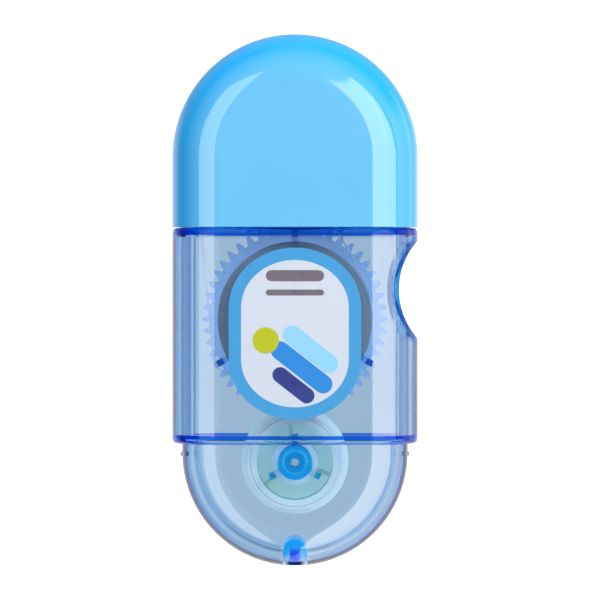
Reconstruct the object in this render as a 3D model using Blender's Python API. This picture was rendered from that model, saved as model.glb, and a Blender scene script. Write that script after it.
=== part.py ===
"""Correction tape dispenser: a transparent capsule case, a pull-off cap, geared reels and an applicator head.

Frame, in metres: +Z runs along the case towards the cap, -Y points out of the labelled front face, and +X is
to the right seen from the front. The origin is the centre of the closed dispenser's bounding box.
"""

import math

import bmesh
import bpy
from mathutils import Vector

MM = 0.001

# Driving dimensions of the closed dispenser.
LENGTH = 72.0 * MM
OUTER_HALF_WIDTH = 16.65 * MM  # the cap, and the band of the case
OUTER_HALF_DEPTH = 7.3 * MM
OUTER_EDGE_RADIUS = 6.6 * MM
CORE_HALF_WIDTH = 15.3 * MM  # the neck under the cap, and the foot
CORE_HALF_DEPTH = 6.2 * MM
CORE_EDGE_RADIUS = 5.2 * MM
TAPE_WIDTH = 5.0 * MM
GEAR_MODULE = 0.52 * MM
SUPPLY_TEETH = 48
TAKEUP_TEETH = 26

# Heights along the case.
TOP_Z = LENGTH / 2
BOTTOM_Z = -LENGTH / 2
CAP_CENTRE_Z = TOP_Z - OUTER_HALF_WIDTH
FOOT_CENTRE_Z = BOTTOM_Z + CORE_HALF_WIDTH
BAND_TOP_Z = 9.7 * MM
BAND_BOTTOM_Z = -19.4 * MM
BAND_CORNER_RADIUS = 0.6 * MM
CAP_GAP = 0.1 * MM
SHOULDER_Z = 14.0 * MM
SHOULDER_RISE = 9.5 * MM
NECK_TOP_Z = 22.5 * MM

# Walls.
SIDE_WALL = 1.45 * MM
FACE_WALL = 1.2 * MM
LEDGE_WALL = 1.2 * MM
NOTCH_WALL = 0.95 * MM
CAP_SIDE_WALL = 1.1 * MM
CAP_FACE_WALL = 0.85 * MM
CAP_INNER_EDGE = 5.2 * MM
CORE_INNER_EDGE = 4.0 * MM
BAND_INNER_EDGE = 5.3 * MM
SEAM_GAP = 0.1 * MM
SKIN_DEPTH = 0.45 * MM  # how deep in the wall the features moulded on it begin

# The finger notch is a round scallop in the right side of the band.
NOTCH_RADIUS = 9.55 * MM
NOTCH_X = 23.5 * MM
NOTCH_Z = 1.4 * MM

# Snap beads that hold the cap, one pair on the neck and one on the foot.
BEAD_RADIUS = 0.4 * MM
BEAD_HALF_LENGTH = 1.3 * MM
BEAD_PROUD = 0.2 * MM
BEAD_OFFSET = 1.4 * MM

# Reel axes, both along Y at x = 0, a gear centre distance apart.
SUPPLY_Z = -2.6 * MM
TAKEUP_Z = SUPPLY_Z - GEAR_MODULE * (SUPPLY_TEETH + TAKEUP_TEETH) / 2

# Depth of each layer, from the back wall to the front wall.
GEAR_BACK_Y = 4.6 * MM
GEAR_FRONT_Y = 3.5 * MM
CLUTCH_BACK_Y = 3.4 * MM
CLUTCH_FRONT_Y = 2.95 * MM
FLANGE_BACK_Y = 2.85 * MM
FLANGE_FRONT_Y = 2.35 * MM
TAPE_BACK_Y = 2.25 * MM
TAPE_FRONT_Y = TAPE_BACK_Y - TAPE_WIDTH
CORE_FRONT_Y = TAPE_FRONT_Y - 0.15 * MM
RIB_END_Y = -3.3 * MM

# Reels.
POST_RADIUS = 2.3 * MM
POST_BORE = 1.7 * MM
POST_FRONT_Y = -3.1 * MM
PIN_RADIUS = 1.5 * MM
PIN_CORE_HOLE = 0.5 * MM
PIN_END_Y = 0.0
HUB_BORE = 2.42 * MM
SLEEVE_RADIUS = 3.4 * MM
SLEEVE_FRONT_Y = -2.6 * MM
SPOOL_BORE = 3.55 * MM
SPOOL_RADIUS = 4.5 * MM
SPOOL_FLANGE_RADIUS = 10.2 * MM
ROLL_INNER_RADIUS = 4.6 * MM
ROLL_RADIUS = 10.5 * MM
CLUTCH_INNER_RADIUS = 4.2 * MM
CLUTCH_OUTER_RADIUS = 6.2 * MM
TAKEUP_HUB_RADIUS = 3.1 * MM
DRUM_INNER_RADIUS = 5.15 * MM
DRUM_RADIUS = 5.95 * MM
TAKEUP_FLANGE_RADIUS = GEAR_MODULE * (TAKEUP_TEETH / 2 + 1)
TAKEUP_FLANGE_BACK_Y = 3.4 * MM
TAKEUP_FLANGE_FRONT_Y = 2.6 * MM
SPOKE_WIDTH = 0.5 * MM
SPOKE_FRONT_Y = 1.0 * MM
SPOKE_START_ANGLE = math.radians(98)
WRAP_INNER_RADIUS = 6.02 * MM
WRAP_RADIUS = 6.45 * MM

# Three ribs stand on the front shell round each reel. A deep finger at the end of each guides the reel.
RIB_ANGLES = [math.radians(a) for a in (90, 210, 330)]
RIB_WIDTH = 0.85 * MM
SUPPLY_FINGER = (11.1 * MM, 12.0 * MM)
SUPPLY_FINGER_END_Y = 2.9 * MM
TAKEUP_FINGER = (3.25 * MM, 3.9 * MM)
TAKEUP_FINGER_END_Y = 0.4 * MM

# The peg and socket that locate the two shells at the foot.
SOCKET_Z = -33.6 * MM
SOCKET_RADIUS = 1.55 * MM
SOCKET_BORE = 1.15 * MM
SOCKET_END_Y = -0.4 * MM
PEG_HALF_WIDTH = 0.7 * MM
PEG_TOP_Z = -33.2 * MM
PEG_BOTTOM_Z = -35.3 * MM
PEG_END_Y = -3.6 * MM
PEG_GAP = 0.2 * MM

# Applicator head.
BLADE_TIP_RADIUS = 0.45 * MM
BLADE_TIP_Z = 32.75 * MM
BLADE_ROOT_HALF = 1.5 * MM
BLADE_SHOULDER_Z = 22.0 * MM
BLADE_BOTTOM_Z = 18.1 * MM
BLADE_SIDE_GAP = 0.1 * MM
CHEEK_THICKNESS = 0.55 * MM
CHEEK_GAP = 0.2 * MM
CHEEK_BOTTOM_Z = 16.4 * MM
CHEEK_WAIST_HALF = 3.1 * MM
CHEEK_WAIST_Z = 19.3 * MM
CHEEK_HALF = 3.9 * MM
CHEEK_LOW_Z = 21.6 * MM
CHEEK_HIGH_Z = 24.2 * MM
CHEEK_TIP_HALF = 1.0 * MM
CHEEK_TIP_Z = 32.0 * MM
BLOCK_HALF = 1.2 * MM
BLOCK_TOP_Z = 17.9 * MM
FOOT_REACH_Y = 4.75 * MM
HEAD_OPENING_HALF = 4.3 * MM
HEAD_OPENING_MARGIN = 0.3 * MM

# Guide rollers: name, x, z, radius, and the way the tape goes round (1 is anticlockwise from the front).
ROLLER_BORE = 0.62 * MM
ROLLER_PIN = 0.5 * MM
ROLLER_BACK_Y = TAPE_BACK_Y + 0.1 * MM
ROLLER_FRONT_Y = TAPE_FRONT_Y - 0.1 * MM
ROLLER_PIN_END_Y = ROLLER_FRONT_Y - 0.35 * MM
FEED_ROLLER = ("feed_guide_roller", 4.5 * MM, 14.6 * MM, 1.1 * MM, -1)
RETURN_ROLLER = ("return_guide_roller", -3.9 * MM, 17.6 * MM, 1.1 * MM, -1)
SIDE_ROLLER = ("side_guide_roller", -11.8 * MM, 11.6 * MM, 1.2 * MM, 1)

# Tape strip between the reels.
STRIP_THICKNESS = 0.12 * MM
STRIP_CLEARANCE = 0.1 * MM
STRIP_END_GAP = 0.2 * MM
FINGER_CLEARANCE = 0.3 * MM

# Label, let into the front face.
LABEL_HALF_WIDTH = 8.85 * MM
LABEL_HALF_HEIGHT = 11.5 * MM
LABEL_END_RISE = 8.0 * MM
LABEL_Z = -4.5 * MM
LABEL_THICKNESS = 0.15 * MM
LABEL_POCKET = 0.22 * MM
LABEL_POCKET_MARGIN = 0.12 * MM

# How finely curves are drawn.
END_STEPS = 30
SHOULDER_STEPS = 8
EDGE_STEPS = 6
ROUND_STEPS = 40
SMALL_ROUND_STEPS = 20
FLANK_STEPS = 3
SMOOTH_ANGLE = math.radians(30)
OVERLAP = 0.5 * MM  # how far pieces that are joined run into each other, and cutters past a wall


# ---------------------------------------------------------------- materials


def make_material(name, colour, roughness, metallic=0.0, transmission=0.0):
    """A plain Principled material with the sub-part's own colour."""
    material = bpy.data.materials.new(name)
    material.use_nodes = True
    shader = material.node_tree.nodes["Principled BSDF"]
    shader.inputs["Base Color"].default_value = (*colour, 1.0)
    shader.inputs["Roughness"].default_value = roughness
    shader.inputs["Metallic"].default_value = metallic
    shader.inputs["Transmission Weight"].default_value = transmission
    return material


def make_materials():
    return {
        "cap": make_material("cap_sky_blue", (0.17, 0.59, 0.96), 0.12),
        "clear": make_material("clear_blue", (0.30, 0.55, 0.85), 0.05, transmission=0.9),
        "label": make_material("label_print", (0.80, 0.85, 0.90), 0.45),
        "mint": make_material("mint_plastic", (0.62, 0.82, 0.76), 0.35),
        "white": make_material("natural_plastic", (0.80, 0.84, 0.90), 0.35),
        "tape": make_material("white_tape", (0.85, 0.86, 0.88), 0.5),
        "roll": make_material("wound_tape", (0.33, 0.38, 0.46), 0.55),
        "rubber": make_material("friction_rubber", (0.05, 0.05, 0.06), 0.8),
        "head": make_material("head_plastic", (0.86, 0.90, 0.94), 0.3),
    }


# ---------------------------------------------------------------- mesh tools


def add_object(name, mesh_builder, material=None):
    """A named object in the scene from a bmesh, with its faces pointing out."""
    bmesh.ops.recalc_face_normals(mesh_builder, faces=mesh_builder.faces)
    mesh = bpy.data.meshes.new(name)
    mesh_builder.to_mesh(mesh)
    mesh_builder.free()
    obj = bpy.data.objects.new(name, mesh)
    bpy.context.scene.collection.objects.link(obj)
    if material:
        mesh.materials.append(material)
    return obj


def loft(name, rings, material=None):
    """A closed solid through equal-length rings of points, with a flat face on the first and last ring."""
    builder = bmesh.new()
    rows = [[builder.verts.new(point) for point in ring] for ring in rings]
    for low, high in zip(rows, rows[1:]):
        for i in range(len(low)):
            j = (i + 1) % len(low)
            builder.faces.new((low[i], low[j], high[j], high[i]))
    builder.faces.new(rows[0])
    builder.faces.new(list(reversed(rows[-1])))
    return add_object(name, builder, material)


def prism(name, outline, y_start, y_end, material=None):
    """An outline of (x, z) points drawn out along Y."""
    rings = [[(x, y, z) for x, z in outline] for y in (y_start, y_end)]
    return loft(name, rings, material)


def circle(x, z, radius, steps=ROUND_STEPS):
    turns = [2 * math.pi * i / steps for i in range(steps)]
    return [(x + radius * math.cos(t), z + radius * math.sin(t)) for t in turns]


def disc(name, x, z, radius, y_start, y_end, material=None, steps=ROUND_STEPS):
    return prism(name, circle(x, z, radius, steps), y_start, y_end, material)


def box(name, low, high, material=None):
    (x0, y0, z0), (x1, y1, z1) = low, high
    return prism(name, [(x0, z0), (x1, z0), (x1, z1), (x0, z1)], y0, y1, material)


def combine(target, tool, operation):
    """Adds the tool to the target, or cuts it out, and removes the tool."""
    modifier = target.modifiers.new(operation.lower(), "BOOLEAN")
    modifier.operation = operation
    modifier.object = tool
    modifier.solver = "EXACT"
    bpy.context.view_layer.update()
    graph = bpy.context.evaluated_depsgraph_get()
    mesh = bpy.data.meshes.new_from_object(target.evaluated_get(graph))
    target.modifiers.clear()
    target.data = mesh
    bpy.data.objects.remove(tool)


def join(target, *tools):
    for tool in tools:
        combine(target, tool, "UNION")


def cut(target, *tools):
    for tool in tools:
        combine(target, tool, "DIFFERENCE")


def copy_of(obj, name):
    twin = obj.copy()
    twin.data = obj.data.copy()
    twin.name = name
    bpy.context.scene.collection.objects.link(twin)
    return twin


def finish(obj, name, origin=(0.0, 0.0, 0.0), material=None):
    """Names the object, shades it smooth, and puts its origin where it turns or slides."""
    obj.name = name
    obj.data.name = name
    if material:
        obj.data.materials.clear()
        obj.data.materials.append(material)
    shift = Vector(origin)
    for vertex in obj.data.vertices:
        vertex.co -= shift
    obj.location = shift
    obj.data.shade_smooth()
    obj.data.set_sharp_from_angle(angle=SMOOTH_ANGLE)
    return obj


# ---------------------------------------------------------------- outer forms


def core_outline(inset):
    """The neck, sides and foot of the case seen from the front, moved in by inset, as (x, z) points."""
    half = CORE_HALF_WIDTH - inset
    rise = SHOULDER_RISE - inset
    end_turn = math.asin((NECK_TOP_Z - SHOULDER_Z - inset) / rise)
    points = []
    for i in range(END_STEPS + 1):
        turn = math.pi * (1 + i / END_STEPS)
        points.append((half * math.cos(turn), FOOT_CENTRE_Z + half * math.sin(turn)))
    turns = [end_turn * i / SHOULDER_STEPS for i in range(SHOULDER_STEPS + 1)]
    right = [(half * math.cos(t), SHOULDER_Z + rise * math.sin(t)) for t in turns]
    return points + right + [(-x, z) for x, z in reversed(right)]


def cap_outline(inset, mouth_z):
    """The domed cap seen from the front, moved in by inset everywhere but at its mouth."""
    half = OUTER_HALF_WIDTH - inset
    turns = [math.pi * i / END_STEPS for i in range(END_STEPS + 1)]
    dome = [(half * math.cos(t), CAP_CENTRE_Z + half * math.sin(t)) for t in turns]
    return [(-half, mouth_z), (half, mouth_z)] + dome


def pillow(name, outline, inset, half_depth, edge_radius):
    """A flat-faced solid whose front and back edges are rounded, from an outline that can be moved in."""
    front = []
    for i in range(EDGE_STEPS + 1):
        turn = math.pi / 2 * (1 - i / EDGE_STEPS)
        depth = half_depth - edge_radius * (1 - math.sin(turn))
        front.append((depth, inset + edge_radius * (1 - math.cos(turn))))
    levels = [(-y, d) for y, d in front] + [(y, d) for y, d in reversed(front)]
    return loft(name, [[(x, y, z) for x, z in outline(d)] for y, d in levels])


def rounded_section(half_width, half_depth, radius):
    """A rounded rectangle of (x, y) points, the band's cross-section."""
    points = []
    for k, (sx, sy) in enumerate([(1, 1), (-1, 1), (-1, -1), (1, -1)]):
        for i in range(EDGE_STEPS + 1):
            turn = math.pi / 2 * (k + i / EDGE_STEPS)
            x = sx * (half_width - radius) + radius * math.cos(turn)
            y = sy * (half_depth - radius) + radius * math.sin(turn)
            points.append((x, y))
    return points


def band_solid():
    """The wide band, with its lower corners rounded."""
    rings = []
    for i in range(4):
        turn = math.pi / 2 * i / 3
        inset = BAND_CORNER_RADIUS * (1 - math.sin(turn))
        z = BAND_BOTTOM_Z + BAND_CORNER_RADIUS * (1 - math.cos(turn))
        section = rounded_section(
            OUTER_HALF_WIDTH - inset, OUTER_HALF_DEPTH - inset, OUTER_EDGE_RADIUS - inset
        )
        rings.append([(x, y, z) for x, y in section])
    rings.append([(x, y, BAND_TOP_Z) for x, y, _ in rings[-1]])
    return loft("band", rings)


def band_hollow():
    section = rounded_section(OUTER_HALF_WIDTH - SIDE_WALL, OUTER_HALF_DEPTH - FACE_WALL, BAND_INNER_EDGE)
    heights = (BAND_BOTTOM_Z + LEDGE_WALL, BAND_TOP_Z - LEDGE_WALL)
    hollow = loft("band_hollow", [[(x, y, z) for x, y in section] for z in heights])
    reach = OUTER_HALF_DEPTH + OVERLAP
    cut(hollow, disc("notch_wall", NOTCH_X, NOTCH_Z, NOTCH_RADIUS + NOTCH_WALL, -reach, reach, steps=72))
    return hollow


def head_opening():
    """Where the applicator head comes out of the neck."""
    margin = CHEEK_GAP + CHEEK_THICKNESS + HEAD_OPENING_MARGIN
    return box(
        "head_opening",
        (-HEAD_OPENING_HALF, TAPE_FRONT_Y - margin, NECK_TOP_Z - 2 * SIDE_WALL),
        (HEAD_OPENING_HALF, TAPE_BACK_Y + margin, NECK_TOP_Z + OVERLAP),
    )


def snap_beads():
    """Four small beads on the sides that click into the cap."""
    beads = []
    for z in (BAND_TOP_Z + BEAD_OFFSET, BAND_BOTTOM_Z - BEAD_OFFSET):
        for side in (-1, 1):
            x = side * (CORE_HALF_WIDTH + BEAD_PROUD - BEAD_RADIUS)
            y = BEAD_HALF_LENGTH
            beads.append(disc("bead", x, z, BEAD_RADIUS, -y, y, steps=12))
    return beads


def case_body():
    """Both shells as one hollow body, before the seam parts them."""
    body = pillow("case", core_outline, 0.0, CORE_HALF_DEPTH, CORE_EDGE_RADIUS)
    join(body, band_solid())
    reach = OUTER_HALF_DEPTH + OVERLAP
    cut(body, disc("notch", NOTCH_X, NOTCH_Z, NOTCH_RADIUS, -reach, reach, steps=72))
    hollow = pillow("hollow", core_outline, SIDE_WALL, CORE_HALF_DEPTH - FACE_WALL, CORE_INNER_EDGE)
    join(hollow, band_hollow())
    cut(body, hollow, head_opening())
    join(body, *snap_beads())
    return body


def half_of(body, name, side):
    """The part of the body on one side of the seam: -1 is the front, 1 is the back."""
    half = copy_of(body, name)
    reach = LENGTH
    y_near = side * SEAM_GAP / 2
    y_far = -side * reach
    cut(half, box("half", (-reach, min(y_near, y_far), -reach), (reach, max(y_near, y_far), reach)))
    return half


# ---------------------------------------------------------------- shells


def radial_bar(name, axis_z, angle, r_start, r_end, y_start, y_end, width=RIB_WIDTH):
    """A straight bar that runs out from a reel's axis."""
    along = (math.cos(angle), math.sin(angle))
    across = (-along[1], along[0])
    corners = [(r_start, -1), (r_end, -1), (r_end, 1), (r_start, 1)]
    outline = []
    for r, side in corners:
        x = along[0] * r + across[0] * side * width / 2
        z = axis_z + along[1] * r + across[1] * side * width / 2
        outline.append((x, z))
    return prism(name, outline, y_start, y_end)


def add_pin_and_ribs(shell, axis_z, wall_y, finger, finger_end_y):
    """The pin, the three ribs and their deep fingers for one reel, on the front shell."""
    join(shell, disc("pin", 0.0, axis_z, PIN_RADIUS, wall_y, PIN_END_Y, steps=SMALL_ROUND_STEPS))
    for angle in RIB_ANGLES:
        join(shell, radial_bar("rib", axis_z, angle, PIN_RADIUS / 2, finger[1] - 0.1 * MM, wall_y, RIB_END_Y))
        join(shell, radial_bar("finger", axis_z, angle, *finger, wall_y, finger_end_y))
    hole_start = RIB_END_Y - OVERLAP
    cut(shell, disc("core_hole", 0.0, axis_z, PIN_CORE_HOLE, hole_start, OVERLAP, steps=12))


def peg_slot():
    """The opening through the front shell's wall that the peg slides into."""
    half = PEG_HALF_WIDTH + PEG_GAP
    low = (-half, PEG_END_Y - PEG_GAP, BOTTOM_Z - OVERLAP)
    return box("peg_slot", low, (half, OVERLAP, PEG_TOP_Z + PEG_GAP))


def keep_inside_skin(part):
    """Trims a feature at the foot so that it ends within the thickness of the wall."""
    deep = SKIN_DEPTH
    skin = pillow("skin", core_outline, deep, CORE_HALF_DEPTH - deep, CORE_EDGE_RADIUS - deep)
    combine(part, skin, "INTERSECT")


def socket():
    """The arch on the front shell that the back shell's peg enters."""
    y_start = -CORE_HALF_DEPTH
    arch = disc("socket", 0.0, SOCKET_Z, SOCKET_RADIUS, y_start, SOCKET_END_Y, steps=SMALL_ROUND_STEPS)
    join(arch, box("legs", (-SOCKET_RADIUS, y_start, BOTTOM_Z), (SOCKET_RADIUS, SOCKET_END_Y, SOCKET_Z)))
    keep_inside_skin(arch)
    bore_start = -CORE_HALF_DEPTH + FACE_WALL
    cut(arch, disc("bore", 0.0, SOCKET_Z, SOCKET_BORE, bore_start, OVERLAP, steps=SMALL_ROUND_STEPS))
    cut(arch, box("slot", (-SOCKET_BORE, bore_start, BOTTOM_Z), (SOCKET_BORE, OVERLAP, SOCKET_Z)))
    return arch


def label_outline(grow, steps=14):
    """The label's stadium with slightly flattened ends, as (x, z) points."""
    half_width = LABEL_HALF_WIDTH + grow
    rise = LABEL_END_RISE + grow
    straight = LABEL_HALF_HEIGHT - LABEL_END_RISE
    points = []
    for side in (1, -1):
        for i in range(steps + 1):
            turn = math.pi * i / steps
            x = side * half_width * math.cos(turn)
            z = LABEL_Z + side * (straight + rise * math.sin(turn))
            points.append((x, z))
    return points


def make_front_shell(body, materials):
    shell = half_of(body, "front_shell", -1)
    band_wall_y = -OUTER_HALF_DEPTH + FACE_WALL / 2
    foot_wall_y = -CORE_HALF_DEPTH + FACE_WALL / 2
    add_pin_and_ribs(shell, SUPPLY_Z, band_wall_y, SUPPLY_FINGER, SUPPLY_FINGER_END_Y)
    add_pin_and_ribs(shell, TAKEUP_Z, foot_wall_y, TAKEUP_FINGER, TAKEUP_FINGER_END_Y)
    join(shell, socket())
    cut(shell, peg_slot())
    pocket_y = -OUTER_HALF_DEPTH + LABEL_POCKET
    cut(shell, prism("pocket", label_outline(LABEL_POCKET_MARGIN), -OUTER_HALF_DEPTH - OVERLAP, pocket_y))
    return finish(shell, "front_shell", material=materials["clear"])


def make_back_shell(body, materials):
    shell = half_of(body, "back_shell", 1)
    foot_wall_y = CORE_HALF_DEPTH - FACE_WALL / 2
    band_wall_y = OUTER_HALF_DEPTH - FACE_WALL / 2
    for axis_z, wall_y in ((SUPPLY_Z, band_wall_y), (TAKEUP_Z, foot_wall_y)):
        join(shell, disc("post", 0.0, axis_z, POST_RADIUS, POST_FRONT_Y, wall_y))
        bore_end = wall_y - FACE_WALL / 2
        cut(shell, disc("post_bore", 0.0, axis_z, POST_BORE, POST_FRONT_Y - OVERLAP, bore_end))
    for _, x, z, _, _ in (FEED_ROLLER, RETURN_ROLLER, SIDE_ROLLER):
        join(shell, disc("roller_pin", x, z, ROLLER_PIN, ROLLER_PIN_END_Y, foot_wall_y, steps=16))
    peg = box("peg", (-PEG_HALF_WIDTH, PEG_END_Y, PEG_BOTTOM_Z), (PEG_HALF_WIDTH, OVERLAP, PEG_TOP_Z))
    peg_root = (-PEG_HALF_WIDTH, 0.0, PEG_TOP_Z - SIDE_WALL)
    join(peg, box("peg_root", peg_root, (PEG_HALF_WIDTH, CORE_HALF_DEPTH, PEG_TOP_Z)))
    keep_inside_skin(peg)
    join(shell, peg)
    return finish(shell, "back_shell", material=materials["clear"])


def make_cap(materials):
    """The domed cap: a pillow with an open mouth and two shallow grooves for the snap beads."""
    mouth = BAND_TOP_Z + CAP_GAP
    cap = pillow("cap", lambda d: cap_outline(d, mouth), 0.0, OUTER_HALF_DEPTH, OUTER_EDGE_RADIUS)
    inside = pillow(
        "cap_hollow",
        lambda d: cap_outline(d, mouth - OVERLAP),
        CAP_SIDE_WALL,
        OUTER_HALF_DEPTH - CAP_FACE_WALL,
        CAP_INNER_EDGE,
    )
    cut(cap, inside)
    groove_x = OUTER_HALF_WIDTH - CAP_SIDE_WALL
    groove_y = BEAD_HALF_LENGTH + CAP_GAP
    groove_z = BAND_TOP_Z + BEAD_OFFSET
    for side in (-1, 1):
        cut(cap, disc("groove", side * groove_x, groove_z, BEAD_RADIUS, -groove_y, groove_y, steps=12))
    return finish(cap, "cap", origin=(0.0, 0.0, mouth), material=materials["cap"])


def make_label(materials):
    y_front = -OUTER_HALF_DEPTH
    label = prism("front_label", label_outline(0.0), y_front, y_front + LABEL_THICKNESS)
    return finish(label, "front_label", material=materials["label"])


# ---------------------------------------------------------------- reels


def gear_outline(teeth, axis_z, first_tooth, backlash=0.07 * MM, pressure=math.radians(20)):
    """An involute gear seen from the front, with a tooth centred on the angle first_tooth."""
    pitch = GEAR_MODULE * teeth / 2
    base = pitch * math.cos(pressure)
    tip = pitch + GEAR_MODULE
    root = pitch - 1.2 * GEAR_MODULE

    def half_angle(radius):
        """Half of the tooth's angle at a radius, by the involute function."""
        slope = math.acos(min(1.0, base / max(radius, base)))
        at_pitch = math.pi / (2 * teeth) - backlash / (2 * pitch)
        return at_pitch + (math.tan(pressure) - pressure) - (math.tan(slope) - slope)

    low = max(root, base)
    radii = [low + (tip - low) * i / FLANK_STEPS for i in range(FLANK_STEPS + 1)]
    if root < base:
        radii.insert(0, root)
    points = []
    for k in range(teeth):
        centre = first_tooth + 2 * math.pi * k / teeth
        flank = [(r, half_angle(r)) for r in radii]
        for r, a in flank:
            points.append((r * math.cos(centre - a), axis_z + r * math.sin(centre - a)))
        for r, a in reversed(flank):
            points.append((r * math.cos(centre + a), axis_z + r * math.sin(centre + a)))
    return points


def make_supply_gear(materials):
    """The large gear, with the sleeve that the spool rides on."""
    gear = prism("supply_gear", gear_outline(SUPPLY_TEETH, SUPPLY_Z, -math.pi / 2), GEAR_FRONT_Y, GEAR_BACK_Y)
    join(gear, disc("sleeve", 0.0, SUPPLY_Z, SLEEVE_RADIUS, SLEEVE_FRONT_Y, GEAR_BACK_Y - 0.3 * MM))
    cut(gear, disc("bore", 0.0, SUPPLY_Z, HUB_BORE, SLEEVE_FRONT_Y - OVERLAP, GEAR_BACK_Y + OVERLAP))
    return finish(gear, "supply_gear", (0.0, 0.0, SUPPLY_Z), materials["white"])


def ring(name, axis_z, r_inner, r_outer, y_start, y_end, material):
    part = disc(name, 0.0, axis_z, r_outer, y_start, y_end)
    cut(part, disc("bore", 0.0, axis_z, r_inner, y_start - OVERLAP, y_end + OVERLAP))
    return finish(part, name, (0.0, 0.0, axis_z), material)


def make_supply_core(materials):
    """The spool that the new tape is wound on: a tube with a thin flange behind the tape."""
    spool = disc("supply_core", 0.0, SUPPLY_Z, SPOOL_RADIUS, CORE_FRONT_Y, FLANGE_BACK_Y)
    join(spool, disc("flange", 0.0, SUPPLY_Z, SPOOL_FLANGE_RADIUS, FLANGE_FRONT_Y, FLANGE_BACK_Y + 1e-5))
    cut(spool, disc("bore", 0.0, SUPPLY_Z, SPOOL_BORE, CORE_FRONT_Y - OVERLAP, FLANGE_BACK_Y + OVERLAP))
    return finish(spool, "supply_core", (0.0, 0.0, SUPPLY_Z), materials["white"])


def make_takeup_reel(materials):
    """Gear, flange, drum, hub and three spokes in one moulding."""
    gap_at_top = math.pi / 2 + math.pi / TAKEUP_TEETH
    reel = prism("takeup_reel", gear_outline(TAKEUP_TEETH, TAKEUP_Z, gap_at_top), GEAR_FRONT_Y, GEAR_BACK_Y)
    flange_back = GEAR_FRONT_Y + 0.3 * MM
    neck_radius = TAKEUP_FLANGE_RADIUS - 2.5 * GEAR_MODULE
    join(reel, disc("neck", 0.0, TAKEUP_Z, neck_radius, TAKEUP_FLANGE_FRONT_Y + 0.2 * MM, flange_back))
    flange_front, flange_radius = TAKEUP_FLANGE_FRONT_Y, TAKEUP_FLANGE_RADIUS
    join(reel, disc("flange", 0.0, TAKEUP_Z, flange_radius, flange_front, TAKEUP_FLANGE_BACK_Y))
    drum = disc("drum", 0.0, TAKEUP_Z, DRUM_RADIUS, CORE_FRONT_Y, flange_front + 0.4 * MM)
    cut(drum, disc("well", 0.0, TAKEUP_Z, DRUM_INNER_RADIUS, CORE_FRONT_Y - OVERLAP, TAKEUP_FLANGE_BACK_Y))
    join(reel, drum)
    for k in range(3):
        angle = SPOKE_START_ANGLE + 2 * math.pi * k / 3
        r_end = (DRUM_INNER_RADIUS + DRUM_RADIUS) / 2
        y_end = TAKEUP_FLANGE_FRONT_Y + 0.3 * MM
        join(reel, radial_bar("spoke", TAKEUP_Z, angle, HUB_BORE, r_end, SPOKE_FRONT_Y, y_end, SPOKE_WIDTH))
    join(reel, disc("hub", 0.0, TAKEUP_Z, TAKEUP_HUB_RADIUS, CORE_FRONT_Y, GEAR_BACK_Y - 0.2 * MM))
    cut(reel, disc("bore", 0.0, TAKEUP_Z, HUB_BORE, CORE_FRONT_Y - OVERLAP, GEAR_BACK_Y + OVERLAP))
    return finish(reel, "takeup_reel", (0.0, 0.0, TAKEUP_Z), materials["mint"])


def make_roller(spec, materials):
    name, x, z, radius, _ = spec
    roller = disc(name, x, z, radius, ROLLER_FRONT_Y, ROLLER_BACK_Y, steps=28)
    cut(roller, disc("bore", x, z, ROLLER_BORE, ROLLER_FRONT_Y - OVERLAP, ROLLER_BACK_Y + OVERLAP, steps=16))
    return finish(roller, name, (x, 0.0, z), materials["white"])


# ---------------------------------------------------------------- tape and head


def tangent(first, second):
    """Where the straight run between two guides leaves the first and meets the second.

    A guide is (x, z, radius, way). The way is 1 where the tape turns anticlockwise round it, and -1 otherwise.
    """
    x1, z1, r1, way1 = first
    x2, z2, r2, way2 = second
    distance = math.hypot(x2 - x1, z2 - z1)
    heading = math.atan2(z2 - z1, x2 - x1)
    normal = heading + math.acos((way2 * r2 - way1 * r1) / distance)
    nx, nz = math.cos(normal), math.sin(normal)
    return (x1 - way1 * r1 * nx, z1 - way1 * r1 * nz), (x2 - way2 * r2 * nx, z2 - way2 * r2 * nz)


def tape_path():
    """The tape's centre line from the full roll, over the tip, to the take-up reel, as (x, z) points."""
    off = STRIP_CLEARANCE + STRIP_THICKNESS / 2
    finger_radius = sum(SUPPLY_FINGER) / 2
    finger_x = finger_radius * math.cos(RIB_ANGLES[1])
    finger_z = SUPPLY_Z + finger_radius * math.sin(RIB_ANGLES[1])
    finger_size = math.hypot(SUPPLY_FINGER[1] - SUPPLY_FINGER[0], RIB_WIDTH) / 2 + FINGER_CLEARANCE
    guides = [(0.0, SUPPLY_Z, ROLL_RADIUS + STRIP_END_GAP, 1)]
    guides.append((*FEED_ROLLER[1:3], FEED_ROLLER[3] + off, FEED_ROLLER[4]))
    guides.append((0.0, BLADE_TIP_Z, BLADE_TIP_RADIUS + off, 1))
    guides.append((*RETURN_ROLLER[1:3], RETURN_ROLLER[3] + off, RETURN_ROLLER[4]))
    guides.append((*SIDE_ROLLER[1:3], SIDE_ROLLER[3] + off, SIDE_ROLLER[4]))
    guides.append((finger_x, finger_z, finger_size + off, 1))
    guides.append((0.0, TAKEUP_Z, WRAP_RADIUS + STRIP_END_GAP, -1))
    runs = [tangent(a, b) for a, b in zip(guides, guides[1:])]
    points = [runs[0][0]]
    for (_, arrive), (leave, _), (x, z, radius, way) in zip(runs, runs[1:], guides[1:]):
        start = math.atan2(arrive[1] - z, arrive[0] - x)
        turn = (way * (math.atan2(leave[1] - z, leave[0] - x) - start)) % (2 * math.pi)
        steps = max(2, math.ceil(turn / math.radians(18)))
        for i in range(steps + 1):
            angle = start + way * turn * i / steps
            points.append((x + radius * math.cos(angle), z + radius * math.sin(angle)))
    return points + [runs[-1][1]]


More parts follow.
